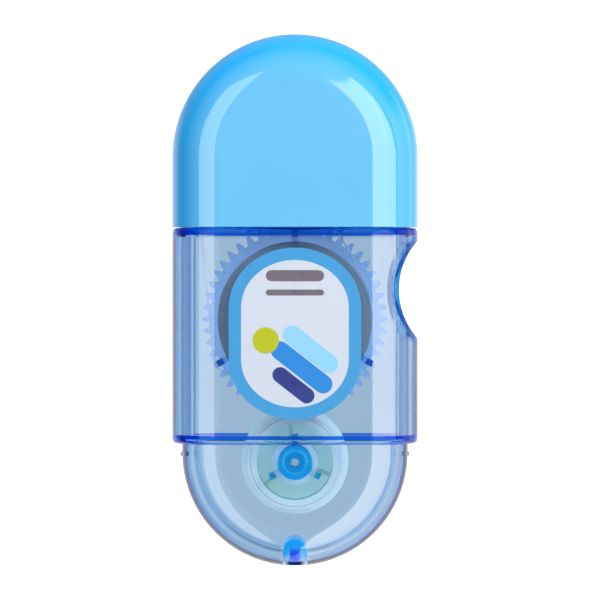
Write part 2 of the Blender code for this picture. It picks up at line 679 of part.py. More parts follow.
def ribbon_outline(points, thickness):
    """A thin closed outline of even thickness along a line of points."""
    sides = ([], [])
    for i, (x, z) in enumerate(points):
        x0, z0 = points[max(i - 1, 0)]
        x1, z1 = points[min(i + 1, len(points) - 1)]
        length = math.hypot(x1 - x0, z1 - z0)
        nx, nz = -(z1 - z0) / length, (x1 - x0) / length
        for side, way in zip(sides, (1, -1)):
            side.append((x + way * nx * thickness / 2, z + way * nz * thickness / 2))
    return sides[0] + sides[1][::-1]


def make_tape_run(materials):
    strip = prism("tape_run", ribbon_outline(tape_path(), STRIP_THICKNESS), TAPE_FRONT_Y, TAPE_BACK_Y)
    return finish(strip, "tape_run", material=materials["tape"])


def make_tip_blade(materials):
    """The flexible wedge that presses the tape on the paper."""
    turns = [math.pi * i / 10 for i in range(11)]
    tip = [(BLADE_TIP_RADIUS * math.cos(t), BLADE_TIP_Z + BLADE_TIP_RADIUS * math.sin(t)) for t in turns]
    root = [
        (-BLADE_ROOT_HALF, BLADE_SHOULDER_Z),
        (-BLADE_ROOT_HALF, BLADE_BOTTOM_Z),
        (BLADE_ROOT_HALF, BLADE_BOTTOM_Z),
        (BLADE_ROOT_HALF, BLADE_SHOULDER_Z),
    ]
    blade = prism("tip_blade", tip + root, TAPE_FRONT_Y - BLADE_SIDE_GAP, TAPE_BACK_Y + BLADE_SIDE_GAP)
    return finish(blade, "tip_blade", material=materials["head"])


def cheek_outline():
    right = [
        (CHEEK_WAIST_HALF, CHEEK_BOTTOM_Z),
        (CHEEK_WAIST_HALF, CHEEK_WAIST_Z),
        (CHEEK_HALF, CHEEK_LOW_Z),
        (CHEEK_HALF, CHEEK_HIGH_Z),
    ]
    for i in range(5):
        turn = math.pi / 2 * i / 5
        right.append((CHEEK_TIP_HALF * math.cos(turn), CHEEK_TIP_Z + CHEEK_TIP_HALF * math.sin(turn) / 2))
    return right + [(-x, z) for x, z in reversed(right)]


def make_head_frame(materials):
    """Two cheeks that keep the tape on the blade, joined by a block whose ends the shells clamp."""
    front = TAPE_FRONT_Y - CHEEK_GAP
    back = TAPE_BACK_Y + CHEEK_GAP
    frame = prism("head_frame", cheek_outline(), front - CHEEK_THICKNESS, front)
    block_low = (-BLOCK_HALF, -FOOT_REACH_Y, CHEEK_BOTTOM_Z + 0.2 * MM)
    join(frame, box("block", block_low, (BLOCK_HALF, FOOT_REACH_Y, BLOCK_TOP_Z)))
    join(frame, prism("back_cheek", cheek_outline(), back, back + CHEEK_THICKNESS))
    return finish(frame, "head_frame", material=materials["head"])


# ---------------------------------------------------------------- assembly


def clear_scene():
    for obj in list(bpy.data.objects):
        bpy.data.objects.remove(obj)


def build():
    clear_scene()
    materials = make_materials()
    body = case_body()
    make_front_shell(body, materials)
    make_back_shell(body, materials)
    bpy.data.objects.remove(body)
    make_cap(materials)
    make_label(materials)
    make_supply_gear(materials)
    ring(
        "clutch_ring", SUPPLY_Z, CLUTCH_INNER_RADIUS, CLUTCH_OUTER_RADIUS,
        CLUTCH_FRONT_Y, CLUTCH_BACK_Y, materials["rubber"],
    )
    make_supply_core(materials)
    ring(
        "supply_tape_roll", SUPPLY_Z, ROLL_INNER_RADIUS, ROLL_RADIUS,
        TAPE_FRONT_Y, TAPE_BACK_Y, materials["roll"],
    )
    make_takeup_reel(materials)
    ring(
        "takeup_tape_wrap", TAKEUP_Z, WRAP_INNER_RADIUS, WRAP_RADIUS,
        TAPE_FRONT_Y, TAPE_BACK_Y, materials["tape"],
    )
    for spec in (FEED_ROLLER, RETURN_ROLLER, SIDE_ROLLER):
        make_roller(spec, materials)
    make_tape_run(materials)
    make_tip_blade(materials)
    make_head_frame(materials)


build()
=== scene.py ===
"""Looks of a correction tape dispenser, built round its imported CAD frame.

Metres, +Z is up and -Y is the front."""

from math import acos, asin, atan2, ceil, cos, hypot, pi, radians, sin, tan

import bmesh
import bpy
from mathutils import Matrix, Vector


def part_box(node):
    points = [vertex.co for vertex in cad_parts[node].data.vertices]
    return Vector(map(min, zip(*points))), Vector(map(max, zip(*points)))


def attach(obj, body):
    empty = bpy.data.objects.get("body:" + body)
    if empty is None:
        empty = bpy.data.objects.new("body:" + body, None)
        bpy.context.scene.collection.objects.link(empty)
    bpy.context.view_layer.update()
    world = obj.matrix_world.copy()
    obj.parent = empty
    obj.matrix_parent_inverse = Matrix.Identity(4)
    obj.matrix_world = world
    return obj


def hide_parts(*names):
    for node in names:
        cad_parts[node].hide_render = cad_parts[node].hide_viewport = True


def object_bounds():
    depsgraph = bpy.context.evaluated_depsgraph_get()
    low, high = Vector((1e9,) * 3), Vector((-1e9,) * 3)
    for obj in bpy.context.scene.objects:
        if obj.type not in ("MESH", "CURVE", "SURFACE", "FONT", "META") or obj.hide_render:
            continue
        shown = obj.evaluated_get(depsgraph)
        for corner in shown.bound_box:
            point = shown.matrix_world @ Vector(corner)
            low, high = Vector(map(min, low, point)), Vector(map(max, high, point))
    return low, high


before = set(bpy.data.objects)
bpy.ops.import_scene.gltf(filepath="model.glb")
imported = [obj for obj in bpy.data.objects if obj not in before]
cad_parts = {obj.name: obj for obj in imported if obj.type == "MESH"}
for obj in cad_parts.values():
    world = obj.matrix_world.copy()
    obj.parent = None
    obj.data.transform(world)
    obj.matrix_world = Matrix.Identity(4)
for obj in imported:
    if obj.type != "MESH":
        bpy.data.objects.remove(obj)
cad_low, cad_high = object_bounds()

MM = 0.001


# ---- sizes read from the frame


def round_node(name):
    """The centre x and z, the radius, and the front and back y of a round CAD node."""
    low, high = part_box(name)
    return (low.x + high.x) / 2, (low.z + high.z) / 2, (high.x - low.x) / 2, low.y, high.y


HALF_WIDTH = (cad_high.x - cad_low.x) / 2
HALF_DEPTH = (cad_high.y - cad_low.y) / 2
TOP_Z = cad_high.z
BOTTOM_Z = cad_low.z
MOUTH_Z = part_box("cap")[0].z
SUPPLY_Z, ROLL_RADIUS, TAPE_FRONT_Y, TAPE_BACK_Y = round_node("supply_tape_roll")[1:]
TAKEUP_Z = (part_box("takeup_reel")[0].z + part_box("takeup_reel")[1].z) / 2
GEAR_FRONT_Y = 3.5 * MM
GEAR_BACK_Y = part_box("supply_gear")[1].y
CORE_FRONT_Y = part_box("supply_core")[0].y
FLANGE_BACK_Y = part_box("supply_core")[1].y
WRAP_RADIUS = round_node("takeup_tape_wrap")[2]
LABEL_LOW, LABEL_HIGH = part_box("front_label")

# ---- sizes of the shells, as in the CAD but for a thinner seam and a rounder upper rim on the band

EDGE_RADIUS = 6.6 * MM
CORE_HALF_WIDTH = 15.3 * MM
CORE_HALF_DEPTH = 6.2 * MM
CORE_EDGE_RADIUS = 5.2 * MM
CAP_CENTRE_Z = TOP_Z - HALF_WIDTH
FOOT_CENTRE_Z = BOTTOM_Z + CORE_HALF_WIDTH
CAP_GAP = 0.1 * MM
BAND_TOP_Z = MOUTH_Z - CAP_GAP
BAND_BOTTOM_Z = -19.4 * MM
BAND_CORNER_RADIUS = 0.6 * MM
BAND_RIM_INSET = 0.35 * MM
BAND_RIM_HEIGHT = 0.9 * MM
SHOULDER_Z = 14.0 * MM
SHOULDER_RISE = 9.5 * MM
NECK_TOP_Z = 22.5 * MM
SIDE_WALL = 1.45 * MM
FACE_WALL = 1.2 * MM
LEDGE_WALL = 1.2 * MM
BAND_HOLLOW_Z = (BAND_BOTTOM_Z + LEDGE_WALL, BAND_TOP_Z - LEDGE_WALL)
NOTCH_WALL = 0.95 * MM
CAP_SIDE_WALL = 1.1 * MM
CAP_FACE_WALL = 0.85 * MM
CAP_INNER_EDGE = 5.2 * MM
CORE_INNER_EDGE = 4.0 * MM
BAND_INNER_EDGE = 5.3 * MM
SEAM_GAP = 0.02 * MM
SKIN_DEPTH = 0.45 * MM
NOTCH_RADIUS = 9.55 * MM
NOTCH_X = 23.5 * MM
NOTCH_Z = 1.4 * MM
BEAD_RADIUS = 0.4 * MM
BEAD_HALF_LENGTH = 1.3 * MM
BEAD_PROUD = 0.2 * MM
BEAD_OFFSET = 1.4 * MM

# Pins, posts, ribs and fingers on the shells.
POST_RADIUS = 2.3 * MM
POST_BORE = 1.7 * MM
POST_FRONT_Y = -3.1 * MM
PIN_RADIUS = 1.5 * MM
PIN_CORE_HOLE = 0.5 * MM
PIN_END_Y = 0.0
RIB_ANGLES = [radians(a) for a in (90, 210, 330)]
RIB_WIDTH = 0.85 * MM
RIB_END_Y = -3.3 * MM
RIB_SHORT = 0.1 * MM
SUPPLY_FINGER = (11.1 * MM, 12.0 * MM)
SUPPLY_FINGER_END_Y = 2.9 * MM
TAKEUP_FINGER = (3.25 * MM, 3.9 * MM)
TAKEUP_FINGER_END_Y = 0.4 * MM
ROLLERS = ("feed_guide_roller", "return_guide_roller", "side_guide_roller")
ROLLER_PIN = 0.5 * MM
ROLLER_PIN_PROUD = 0.35 * MM
SOCKET_Z = -33.6 * MM
SOCKET_RADIUS = 1.55 * MM
SOCKET_BORE = 1.15 * MM
SOCKET_END_Y = -0.4 * MM
PEG_HALF_WIDTH = 0.7 * MM
PEG_TOP_Z = -33.2 * MM
PEG_BOTTOM_Z = -35.3 * MM
PEG_END_Y = -3.6 * MM
PEG_GAP = 0.2 * MM
HEAD_OPENING_HALF = 4.3 * MM
HEAD_OPENING_MARGIN = 1.05 * MM

# Colour held in the walls, and a line of painted shade along their inner face.
TINT_INSET = 0.12 * MM
TOP_TINT_Z = (8.75 * MM, 9.7 * MM)
TOP_TINT_INSET = 0.4 * MM
BOTTOM_TINT_Z = (-18.75 * MM, -18.25 * MM)
WALL_TINT_HALF_DEPTH = 2.4 * MM
LINE_TINT = 0.22 * MM
NOTCH_TINT = 0.5 * MM

# Tape path: how far the strip stands off its guides.
STRIP_THICKNESS = 0.07 * MM
STRIP_CLEARANCE = 0.12 * MM
STRIP_END_GAP = 0.2 * MM
FINGER_CLEARANCE = 0.3 * MM
BLADE_TIP_RADIUS = 0.45 * MM
STRIP_STEP = radians(6)

# Reels.
GEAR_MODULE = 0.52 * MM
SUPPLY_TEETH = 48
TAKEUP_TEETH = 26
BACKLASH = 0.07 * MM
PRESSURE_ANGLE = radians(20)
TOOTH_ROUNDING = 0.05 * MM
HUB_BORE = 2.42 * MM
SLEEVE_RADIUS = 3.4 * MM
SLEEVE_FRONT_Y = -2.6 * MM
SLEEVE_BACK_Y = GEAR_BACK_Y - 0.3 * MM
SPOOL_BORE = 3.55 * MM
SPOOL_RADIUS = 4.5 * MM
SPOOL_FLANGE_RADIUS = 10.2 * MM
FLANGE_BORE = SPOOL_BORE + 0.3 * MM
FLANGE_FRONT_Y = 2.35 * MM
ROLL_INNER_RADIUS = 4.6 * MM
GEAR_RECESS = (4.6 * MM, 10.6 * MM)
GEAR_RECESS_DEPTH = 0.35 * MM
GEAR_RIBS = 6
TAKEUP_HUB_RADIUS = 3.1 * MM
DRUM_INNER_RADIUS = 5.15 * MM
DRUM_RADIUS = 5.95 * MM
TAKEUP_FLANGE_BACK_Y = 3.4 * MM
TAKEUP_FLANGE_FRONT_Y = 2.6 * MM
TAKEUP_HUB_BACK_Y = GEAR_BACK_Y - 0.2 * MM
NECK_FRONT_Y = TAKEUP_FLANGE_FRONT_Y + 0.2 * MM
NECK_BACK_Y = GEAR_FRONT_Y + 0.3 * MM
DRUM_BACK_Y = TAKEUP_FLANGE_FRONT_Y + 0.4 * MM
SPOKE_BACK_Y = TAKEUP_FLANGE_FRONT_Y + 0.3 * MM
SPOKE_WIDTH = 0.5 * MM
SPOKE_FRONT_Y = 1.0 * MM
SPOKE_START_ANGLE = radians(98)
WRAP_INNER_RADIUS = 6.02 * MM
# Layers drawn, how uneven their side faces are, and steps round.
ROLL_WINDING = (34, 0.05 * MM, 160)
WRAP_WINDING = (5, 0.04 * MM, 120)

# Label.
LABEL_HALF_WIDTH = (LABEL_HIGH.x - LABEL_LOW.x) / 2
LABEL_HALF_HEIGHT = (LABEL_HIGH.z - LABEL_LOW.z) / 2
LABEL_Z = (LABEL_HIGH.z + LABEL_LOW.z) / 2
LABEL_END_RISE = 8.0 * MM
LABEL_BORDER = 1.65 * MM
LABEL_POCKET = 0.22 * MM
LABEL_POCKET_MARGIN = 0.12 * MM
PRINT_STEP = 0.012 * MM  # how much each printed layer stands above the one under it
PRINT_LEVELS = 4
PRINT_BACK_GAP = 0.02 * MM

# How finely curves are drawn, and how far joined pieces run into each other.
END_STEPS = 72
SHOULDER_STEPS = 18
EDGE_STEPS = 16
NOTCH_STEPS = 180
ROUND_STEPS = 96
SMALL_ROUND_STEPS = 40
FLANK_STEPS = 5
TINY_ROUND_STEPS = 24
LABEL_STEPS = 40
DISC_STEPS = 48
BAR_END_STEPS = 10
TUBE_EDGE_STEPS = 4
TUBE_ROUNDING = 0.08 * MM
SMOOTH_ANGLE = radians(30)
BEVEL_ANGLE = radians(40)
WELD_DISTANCE = 0.001 * MM
NODE_ROUNDING = 0.08 * MM
OVERLAP = 0.5 * MM
THROUGH = HALF_DEPTH + OVERLAP
FAR = 2 * TOP_Z

# How fast the clear plastic takes up red, green and blue light, per metre, on top of its surface tint.
BLUE_LOSS = (235.0, 140.0, 58.0)
LIGHTING_LOSS_SHARE = 0.15  # how much of that loss shadow and diffuse rays meet
PRINT_ROUGHNESS = 0.32
MASK_EDGE = 0.1 * MM  # how soft the edges of painted masks are

FLOOR_GAP = 0.05 * MM
CAMERA_DISTANCE = 500.0 * MM
CAMERA_SIDE = 0.68 * MM
LENS_PER_METRE = 97.3 / 0.22  # the focal length in mm that frames the object, per metre of distance


# ---- mesh tools


def place_object(name, data):
    obj = bpy.data.objects.new(name, data)
    bpy.context.scene.collection.objects.link(obj)
    return obj


def add_object(builder, name="shape"):
    bmesh.ops.recalc_face_normals(builder, faces=builder.faces)
    mesh = bpy.data.meshes.new(name)
    builder.to_mesh(mesh)
    builder.free()
    return place_object(name, mesh)


def loft(rings, closed=False):
    """A solid through equal-length rings of points. A closed one joins its last ring to its first."""
    builder = bmesh.new()
    rows = [[builder.verts.new(point) for point in ring] for ring in rings]
    pairs = list(zip(rows, rows[1:]))
    if closed:
        pairs.append((rows[-1], rows[0]))
    for low, high in pairs:
        for i in range(len(low)):
            j = (i + 1) % len(low)
            builder.faces.new((low[i], low[j], high[j], high[i]))
    if not closed:
        builder.faces.new(rows[0])
        builder.faces.new(list(reversed(rows[-1])))
    return add_object(builder)


def prism(outline, y_start, y_end):
    return loft([[(x, y, z) for x, z in outline] for y in (y_start, y_end)])


def polar(x, z, radius, turn):
    """The point on a circle about (x, z), at an angle."""
    return x + radius * cos(turn), z + radius * sin(turn)


def circle(x, z, radius, steps=ROUND_STEPS):
    return [polar(x, z, radius, 2 * pi * i / steps) for i in range(steps)]


def disc(x, z, radius, y_start, y_end, steps=ROUND_STEPS):
    return prism(circle(x, z, radius, steps), y_start, y_end)


def box(low, high):
    (x0, y0, z0), (x1, y1, z1) = low, high
    return prism([(x0, z0), (x1, z0), (x1, z1), (x0, z1)], y0, y1)


def lathe(x, z, profile, steps=ROUND_STEPS):
    """A turned ring about an axis along Y, from a closed profile of (radius, y) points."""
    rings = []
    for i in range(steps):
        turn = 2 * pi * i / steps
        rings.append([(x + r * cos(turn), y, z + r * sin(turn)) for r, y in profile])
    return loft(rings, closed=True)


def soft_rectangle(r_inner, r_outer, y_start, y_end):
    """The profile of a tube whose four edges are rounded, for lathe."""
    round_off = TUBE_ROUNDING
    corners = [
        (r_outer - round_off, y_end - round_off, 0),
        (r_inner + round_off, y_end - round_off, 1),
        (r_inner + round_off, y_start + round_off, 2),
        (r_outer - round_off, y_start + round_off, 3),
    ]
    points = []
    for r, y, quarter in corners:
        for i in range(TUBE_EDGE_STEPS + 1):
            turn = pi / 2 * (quarter + i / TUBE_EDGE_STEPS)
            points.append(polar(r, y, round_off, turn))
    return points


def tube(x, z, r_inner, r_outer, y_start, y_end, steps=ROUND_STEPS):
    return lathe(x, z, soft_rectangle(r_inner, r_outer, y_start, y_end), steps)


def apply_modifiers(obj):
    bpy.context.view_layer.update()
    graph = bpy.context.evaluated_depsgraph_get()
    mesh = bpy.data.meshes.new_from_object(obj.evaluated_get(graph))
    obj.modifiers.clear()
    obj.data = mesh


def combine(target, tool, operation):
    """Adds the tool to the target, or cuts it out, and removes the tool."""
    modifier = target.modifiers.new(operation.lower(), "BOOLEAN")
    modifier.operation = operation
    modifier.object = tool
    modifier.solver = "MANIFOLD"
    apply_modifiers(target)
    bpy.data.objects.remove(tool)


def join(target, *tools):
    for tool in tools:
        combine(target, tool, "UNION")


def cut(target, *tools):
    for tool in tools:
        combine(target, tool, "DIFFERENCE")


def add_bevel(obj, width, segments):
    bevel = obj.modifiers.new("edges", "BEVEL")
    bevel.width = width
    bevel.segments = segments
    bevel.limit_method = "ANGLE"
    bevel.angle_limit = BEVEL_ANGLE


def soften(obj, width):
    """Rounds the object's sharp edges."""
    add_bevel(obj, width, 2)
    apply_modifiers(obj)


def finish_piece(obj, name, material, body, slot, *replaced):
    """Names and shades a piece, gives it its material, and lets it ride on its body."""
    obj.name = name
    obj.data.name = name
    obj.data.materials.clear()
    obj.data.materials.append(material)
    obj.data.shade_smooth()
    obj.data.set_sharp_from_angle(angle=SMOOTH_ANGLE)
    normals = obj.modifiers.new("normals", "WEIGHTED_NORMAL")
    normals.keep_sharp = True
    normals.weight = 80
    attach(obj, body)
    if replaced:
        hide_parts(*replaced)


# ---- outer forms


def core_outline(inset):
    """The neck, sides and foot of the case seen from the front, moved in by inset, as (x, z) points."""
    half = CORE_HALF_WIDTH - inset
    rise = SHOULDER_RISE - inset
    end_turn = asin((NECK_TOP_Z - SHOULDER_Z - inset) / rise)
    points = []
    for i in range(END_STEPS + 1):
        turn = pi * (1 + i / END_STEPS)
        points.append(polar(0.0, FOOT_CENTRE_Z, half, turn))
    turns = [end_turn * i / SHOULDER_STEPS for i in range(SHOULDER_STEPS + 1)]
    right = [(half * cos(t), SHOULDER_Z + rise * sin(t)) for t in turns]
    return points + right + [(-x, z) for x, z in reversed(right)]


def cap_outline(inset, mouth_z):
    """The domed cap seen from the front, moved in by inset everywhere but at its mouth."""
    half = HALF_WIDTH - inset
    turns = [pi * i / END_STEPS for i in range(END_STEPS + 1)]
    dome = [polar(0.0, CAP_CENTRE_Z, half, turn) for turn in turns]
    return [(-half, mouth_z), (half, mouth_z)] + dome


def pillow(outline, inset, half_depth, edge_radius):
    """A flat-faced solid whose front and back edges are rounded, from an outline that can be moved in."""
    front = []
    for i in range(EDGE_STEPS + 1):
        turn = pi / 2 * (1 - i / EDGE_STEPS)
        depth = half_depth - edge_radius * (1 - sin(turn))
        front.append((depth, inset + edge_radius * (1 - cos(turn))))
    levels = [(-y, d) for y, d in front] + [(y, d) for y, d in reversed(front)]
    return loft([[(x, y, z) for x, z in outline(d)] for y, d in levels])


def rounded_section(half_width, half_depth, radius):
    """A rounded rectangle of (x, y) points, the band's cross-section."""
    points = []
    for k, (sx, sy) in enumerate([(1, 1), (-1, 1), (-1, -1), (1, -1)]):
        for i in range(EDGE_STEPS + 1):
            turn = pi / 2 * (k + i / EDGE_STEPS)
            points.append(polar(sx * (half_width - radius), sy * (half_depth - radius), radius, turn))
    return points


def band_section(inset):
    return rounded_section(HALF_WIDTH - inset, HALF_DEPTH - inset, EDGE_RADIUS - inset)


def band_ring(inset, z):
    return [(x, y, z) for x, y in band_section(inset)]


def upright(section, heights=BAND_HOLLOW_Z):
    """A solid of one cross-section, (x, y) points, between two heights."""
    return loft([[(x, y, z) for x, y in section] for z in heights])


def core_pillow(inset):
    """The core's outer form, moved in by inset on every side."""
    return pillow(core_outline, inset, CORE_HALF_DEPTH - inset, CORE_EDGE_RADIUS - inset)


def notch_cutter(radius):
    return disc(NOTCH_X, NOTCH_Z, radius, -THROUGH, THROUGH, NOTCH_STEPS)


def band_solid():
    """The wide band, with its lower corners and its upper rim rounded."""
    steps = 6
    rings = []
    for i in range(steps + 1):
        turn = pi / 2 * i / steps
        inset = BAND_CORNER_RADIUS * (1 - sin(turn))
        rings.append(band_ring(inset, BAND_BOTTOM_Z + BAND_CORNER_RADIUS * (1 - cos(turn))))
    for i in range(steps + 1):
        turn = pi / 2 * i / steps
        inset = BAND_RIM_INSET * (1 - cos(turn))
        rings.append(band_ring(inset, BAND_TOP_Z - BAND_RIM_HEIGHT * (1 - sin(turn))))
    return loft(rings)


def band_hollow():
    hollow = upright(rounded_section(HALF_WIDTH - SIDE_WALL, HALF_DEPTH - FACE_WALL, BAND_INNER_EDGE))
    cut(hollow, notch_cutter(NOTCH_RADIUS + NOTCH_WALL))
    return hollow


def head_opening():
    return box(
        (-HEAD_OPENING_HALF, TAPE_FRONT_Y - HEAD_OPENING_MARGIN, NECK_TOP_Z - 2 * SIDE_WALL),
        (HEAD_OPENING_HALF, TAPE_BACK_Y + HEAD_OPENING_MARGIN, NECK_TOP_Z + OVERLAP),
    )


def snap_beads():
    beads = []
    for z in (BAND_TOP_Z + BEAD_OFFSET, BAND_BOTTOM_Z - BEAD_OFFSET):
        for side in (-1, 1):
            x = side * (CORE_HALF_WIDTH + BEAD_PROUD - BEAD_RADIUS)
            bead = disc(x, z, BEAD_RADIUS, -BEAD_HALF_LENGTH, BEAD_HALF_LENGTH, TINY_ROUND_STEPS)
            soften(bead, BEAD_RADIUS / 4)
            beads.append(bead)
    return beads


def case_body():
    """Both shells as one hollow body, before the seam parts them."""
    body = core_pillow(0.0)
    join(body, band_solid())
    cut(body, notch_cutter(NOTCH_RADIUS))
    hollow = pillow(core_outline, SIDE_WALL, CORE_HALF_DEPTH - FACE_WALL, CORE_INNER_EDGE)
    join(hollow, band_hollow())
    cut(body, hollow, head_opening())
    join(body, *snap_beads())
    return body


def half_of(body, side):
    """A copy of the part of the body on one side of the seam: -1 is the front, 1 is the back."""
    half = place_object("shape", body.data.copy())
    y_near, y_far = sorted((side * SEAM_GAP / 2, -side * FAR))
    cut(half, box((-FAR, y_near, -FAR), (FAR, y_far, FAR)))
    return half


# ---- shells


def radial_bar(axis_z, angle, r_start, r_end, y_start, y_end, width=RIB_WIDTH):
    """A straight bar that runs out from a reel's axis."""
    along = (cos(angle), sin(angle))
    across = (-along[1], along[0])
    outline = []
    for r, side in [(r_start, -1), (r_end, -1), (r_end, 1), (r_start, 1)]:
        x = along[0] * r + across[0] * side * width / 2
        z = axis_z + along[1] * r + across[1] * side * width / 2
        outline.append((x, z))
    return prism(outline, y_start, y_end)


def add_pin_and_ribs(shell, axis_z, wall_y, finger, finger_end_y):
    """The pin, the three ribs and their deep fingers for one reel, on the front shell."""
    join(shell, disc(0.0, axis_z, PIN_RADIUS, wall_y, PIN_END_Y, SMALL_ROUND_STEPS))
    for angle in RIB_ANGLES:
        rib_end = finger[1] - RIB_SHORT
        join(shell, radial_bar(axis_z, angle, PIN_RADIUS / 2, rib_end, wall_y, RIB_END_Y))
        join(shell, radial_bar(axis_z, angle, *finger, wall_y, finger_end_y))
    hole_start = RIB_END_Y - OVERLAP
    cut(shell, disc(0.0, axis_z, PIN_CORE_HOLE, hole_start, OVERLAP, TINY_ROUND_STEPS))


def peg_slot():
    half = PEG_HALF_WIDTH + PEG_GAP
    low = (-half, PEG_END_Y - PEG_GAP, BOTTOM_Z - OVERLAP)
    return box(low, (half, OVERLAP, PEG_TOP_Z + PEG_GAP))


def keep_inside_skin(part):
    """Trims a feature at the foot so that it ends within the thickness of the wall."""
    combine(part, core_pillow(SKIN_DEPTH), "INTERSECT")


def socket():
    """The arch on the front shell that the back shell's peg enters."""
    y_start = -CORE_HALF_DEPTH
    arch = disc(0.0, SOCKET_Z, SOCKET_RADIUS, y_start, SOCKET_END_Y, SMALL_ROUND_STEPS)
    join(arch, box((-SOCKET_RADIUS, y_start, BOTTOM_Z), (SOCKET_RADIUS, SOCKET_END_Y, SOCKET_Z)))
    keep_inside_skin(arch)
    bore_start = -CORE_HALF_DEPTH + FACE_WALL
    cut(arch, disc(0.0, SOCKET_Z, SOCKET_BORE, bore_start, OVERLAP, SMALL_ROUND_STEPS))
    cut(arch, box((-SOCKET_BORE, bore_start, BOTTOM_Z), (SOCKET_BORE, OVERLAP, SOCKET_Z)))
    return arch


def label_outline(grow):
    """The label's stadium with slightly flattened ends, as (x, z) points."""
    half_width = LABEL_HALF_WIDTH + grow
    rise = LABEL_END_RISE + grow
    straight = LABEL_HALF_HEIGHT - LABEL_END_RISE
    points = []
    for side in (1, -1):
        for i in range(LABEL_STEPS + 1):
            turn = pi * i / LABEL_STEPS
            x = side * half_width * cos(turn)
            z = LABEL_Z + side * (straight + rise * sin(turn))
            points.append((x, z))
    return points


def make_front_shell(body, material):
    shell = half_of(body, -1)
    band_wall_y = -HALF_DEPTH + FACE_WALL / 2
    foot_wall_y = -CORE_HALF_DEPTH + FACE_WALL / 2
    add_pin_and_ribs(shell, SUPPLY_Z, band_wall_y, SUPPLY_FINGER, SUPPLY_FINGER_END_Y)
    add_pin_and_ribs(shell, TAKEUP_Z, foot_wall_y, TAKEUP_FINGER, TAKEUP_FINGER_END_Y)
    join(shell, socket())
    cut(shell, peg_slot())
    pocket_y = -HALF_DEPTH + LABEL_POCKET
    cut(shell, prism(label_outline(LABEL_POCKET_MARGIN), -HALF_DEPTH - OVERLAP, pocket_y))
    finish_piece(shell, "clear_front_shell", material, "case", "clear_case", "front_shell")


def make_back_shell(body, material):
    shell = half_of(body, 1)
    foot_wall_y = CORE_HALF_DEPTH - FACE_WALL / 2
    band_wall_y = HALF_DEPTH - FACE_WALL / 2
    for axis_z, wall_y in ((SUPPLY_Z, band_wall_y), (TAKEUP_Z, foot_wall_y)):
        join(shell, disc(0.0, axis_z, POST_RADIUS, POST_FRONT_Y, wall_y))
        bore_end = wall_y - FACE_WALL / 2
        cut(shell, disc(0.0, axis_z, POST_BORE, POST_FRONT_Y - OVERLAP, bore_end))
    for name in ROLLERS:
        x, z, _, front_y, _ = round_node(name)
        join(shell, disc(x, z, ROLLER_PIN, front_y - ROLLER_PIN_PROUD, foot_wall_y, TINY_ROUND_STEPS))
    peg = box((-PEG_HALF_WIDTH, PEG_END_Y, PEG_BOTTOM_Z), (PEG_HALF_WIDTH, OVERLAP, PEG_TOP_Z))
    peg_root = (-PEG_HALF_WIDTH, 0.0, PEG_TOP_Z - SIDE_WALL)
    join(peg, box(peg_root, (PEG_HALF_WIDTH, CORE_HALF_DEPTH, PEG_TOP_Z)))
    keep_inside_skin(peg)
    join(shell, peg)
    finish_piece(shell, "clear_back_shell", material, "case", "clear_case", "back_shell")


def make_cap(material):
    cap = pillow(lambda d: cap_outline(d, MOUTH_Z), 0.0, HALF_DEPTH, EDGE_RADIUS)
    depth = HALF_DEPTH - CAP_FACE_WALL
    cut(cap, pillow(lambda d: cap_outline(d, MOUTH_Z - OVERLAP), CAP_SIDE_WALL, depth, CAP_INNER_EDGE))
    groove_x = HALF_WIDTH - CAP_SIDE_WALL
    groove_y = BEAD_HALF_LENGTH + CAP_GAP
    groove_z = BAND_TOP_Z + BEAD_OFFSET
    for side in (-1, 1):
        cut(cap, disc(side * groove_x, groove_z, BEAD_RADIUS, -groove_y, groove_y, TINY_ROUND_STEPS))
    finish_piece(cap, "domed_cap", material, "cap", "cap", "cap")


# ---- label


def rounded_bar(x, z, half_length, radius, tilt):
    """A bar with round ends, turned by tilt, as (x, z) points."""
    points = []
    for side in (1, -1):
        for i in range(BAR_END_STEPS + 1):
            turn = -pi / 2 + pi * i / BAR_END_STEPS
            along = side * (half_length - radius + radius * cos(turn))
            across = side * radius * sin(turn)
            px = x + along * cos(tilt) - across * sin(tilt)
            pz = z + along * sin(tilt) + across * cos(tilt)
            points.append((px, pz))
    return points


def print_layer(name, outline, level, material, *replaced):
    """A thin printed shape. Level 1 lies on the border sheet, level 2 on that, and so on."""
    y_front = LABEL_LOW.y + (PRINT_LEVELS - level) * PRINT_STEP
    layer = prism(outline, y_front, LABEL_HIGH.y - PRINT_BACK_GAP)
    finish_piece(layer, name, material, "case", "label", *replaced)


def make_label(paints):
    print_layer("label_border", label_outline(0.0), 0, paints["label_sky"], "front_label")
    print_layer("label_panel", label_outline(-LABEL_BORDER), 1, paints["label_white"])
    tilt = radians(-38)
    # Name, the middle's x and z, half length and half height (all four in millimetres), tilt and ink.
    bars = [
        ("print_wide_bar", 0.0, 3.25, 3.9, 0.75, 0.0, "ink_grey"),
        ("print_thin_bar", 0.0, 1.0, 3.9, 0.4, 0.0, "ink_grey"),
        ("print_sky_bar", 2.1, -6.6, 4.4, 1.25, tilt, "ink_sky"),
        ("print_blue_bar", 0.9, -9.0, 4.9, 1.25, tilt, "ink_blue"),
        ("print_navy_bar", -0.2, -11.4, 3.3, 1.05, tilt, "ink_navy"),
    ]
    for name, x, z, half_length, half_height, angle, ink in bars:
        outline = rounded_bar(x * MM, z * MM, half_length * MM, half_height * MM, angle)
        print_layer(name, outline, 2, paints[ink])
    lime_disc = circle(-3.9 * MM, -5.4 * MM, 1.75 * MM, DISC_STEPS)
    print_layer("print_lime_disc", lime_disc, 3, paints["ink_lime"])


# ---- colour held in the walls, and a line of painted shade


def finish_tint(part, name, material):
    finish_piece(part, name, material, "case", "clear_case")


def keep_seam_clear(part):
    gap = SEAM_GAP / 2 + TINT_INSET
    cut(part, box((-FAR, -gap, -FAR), (FAR, gap, FAR)))


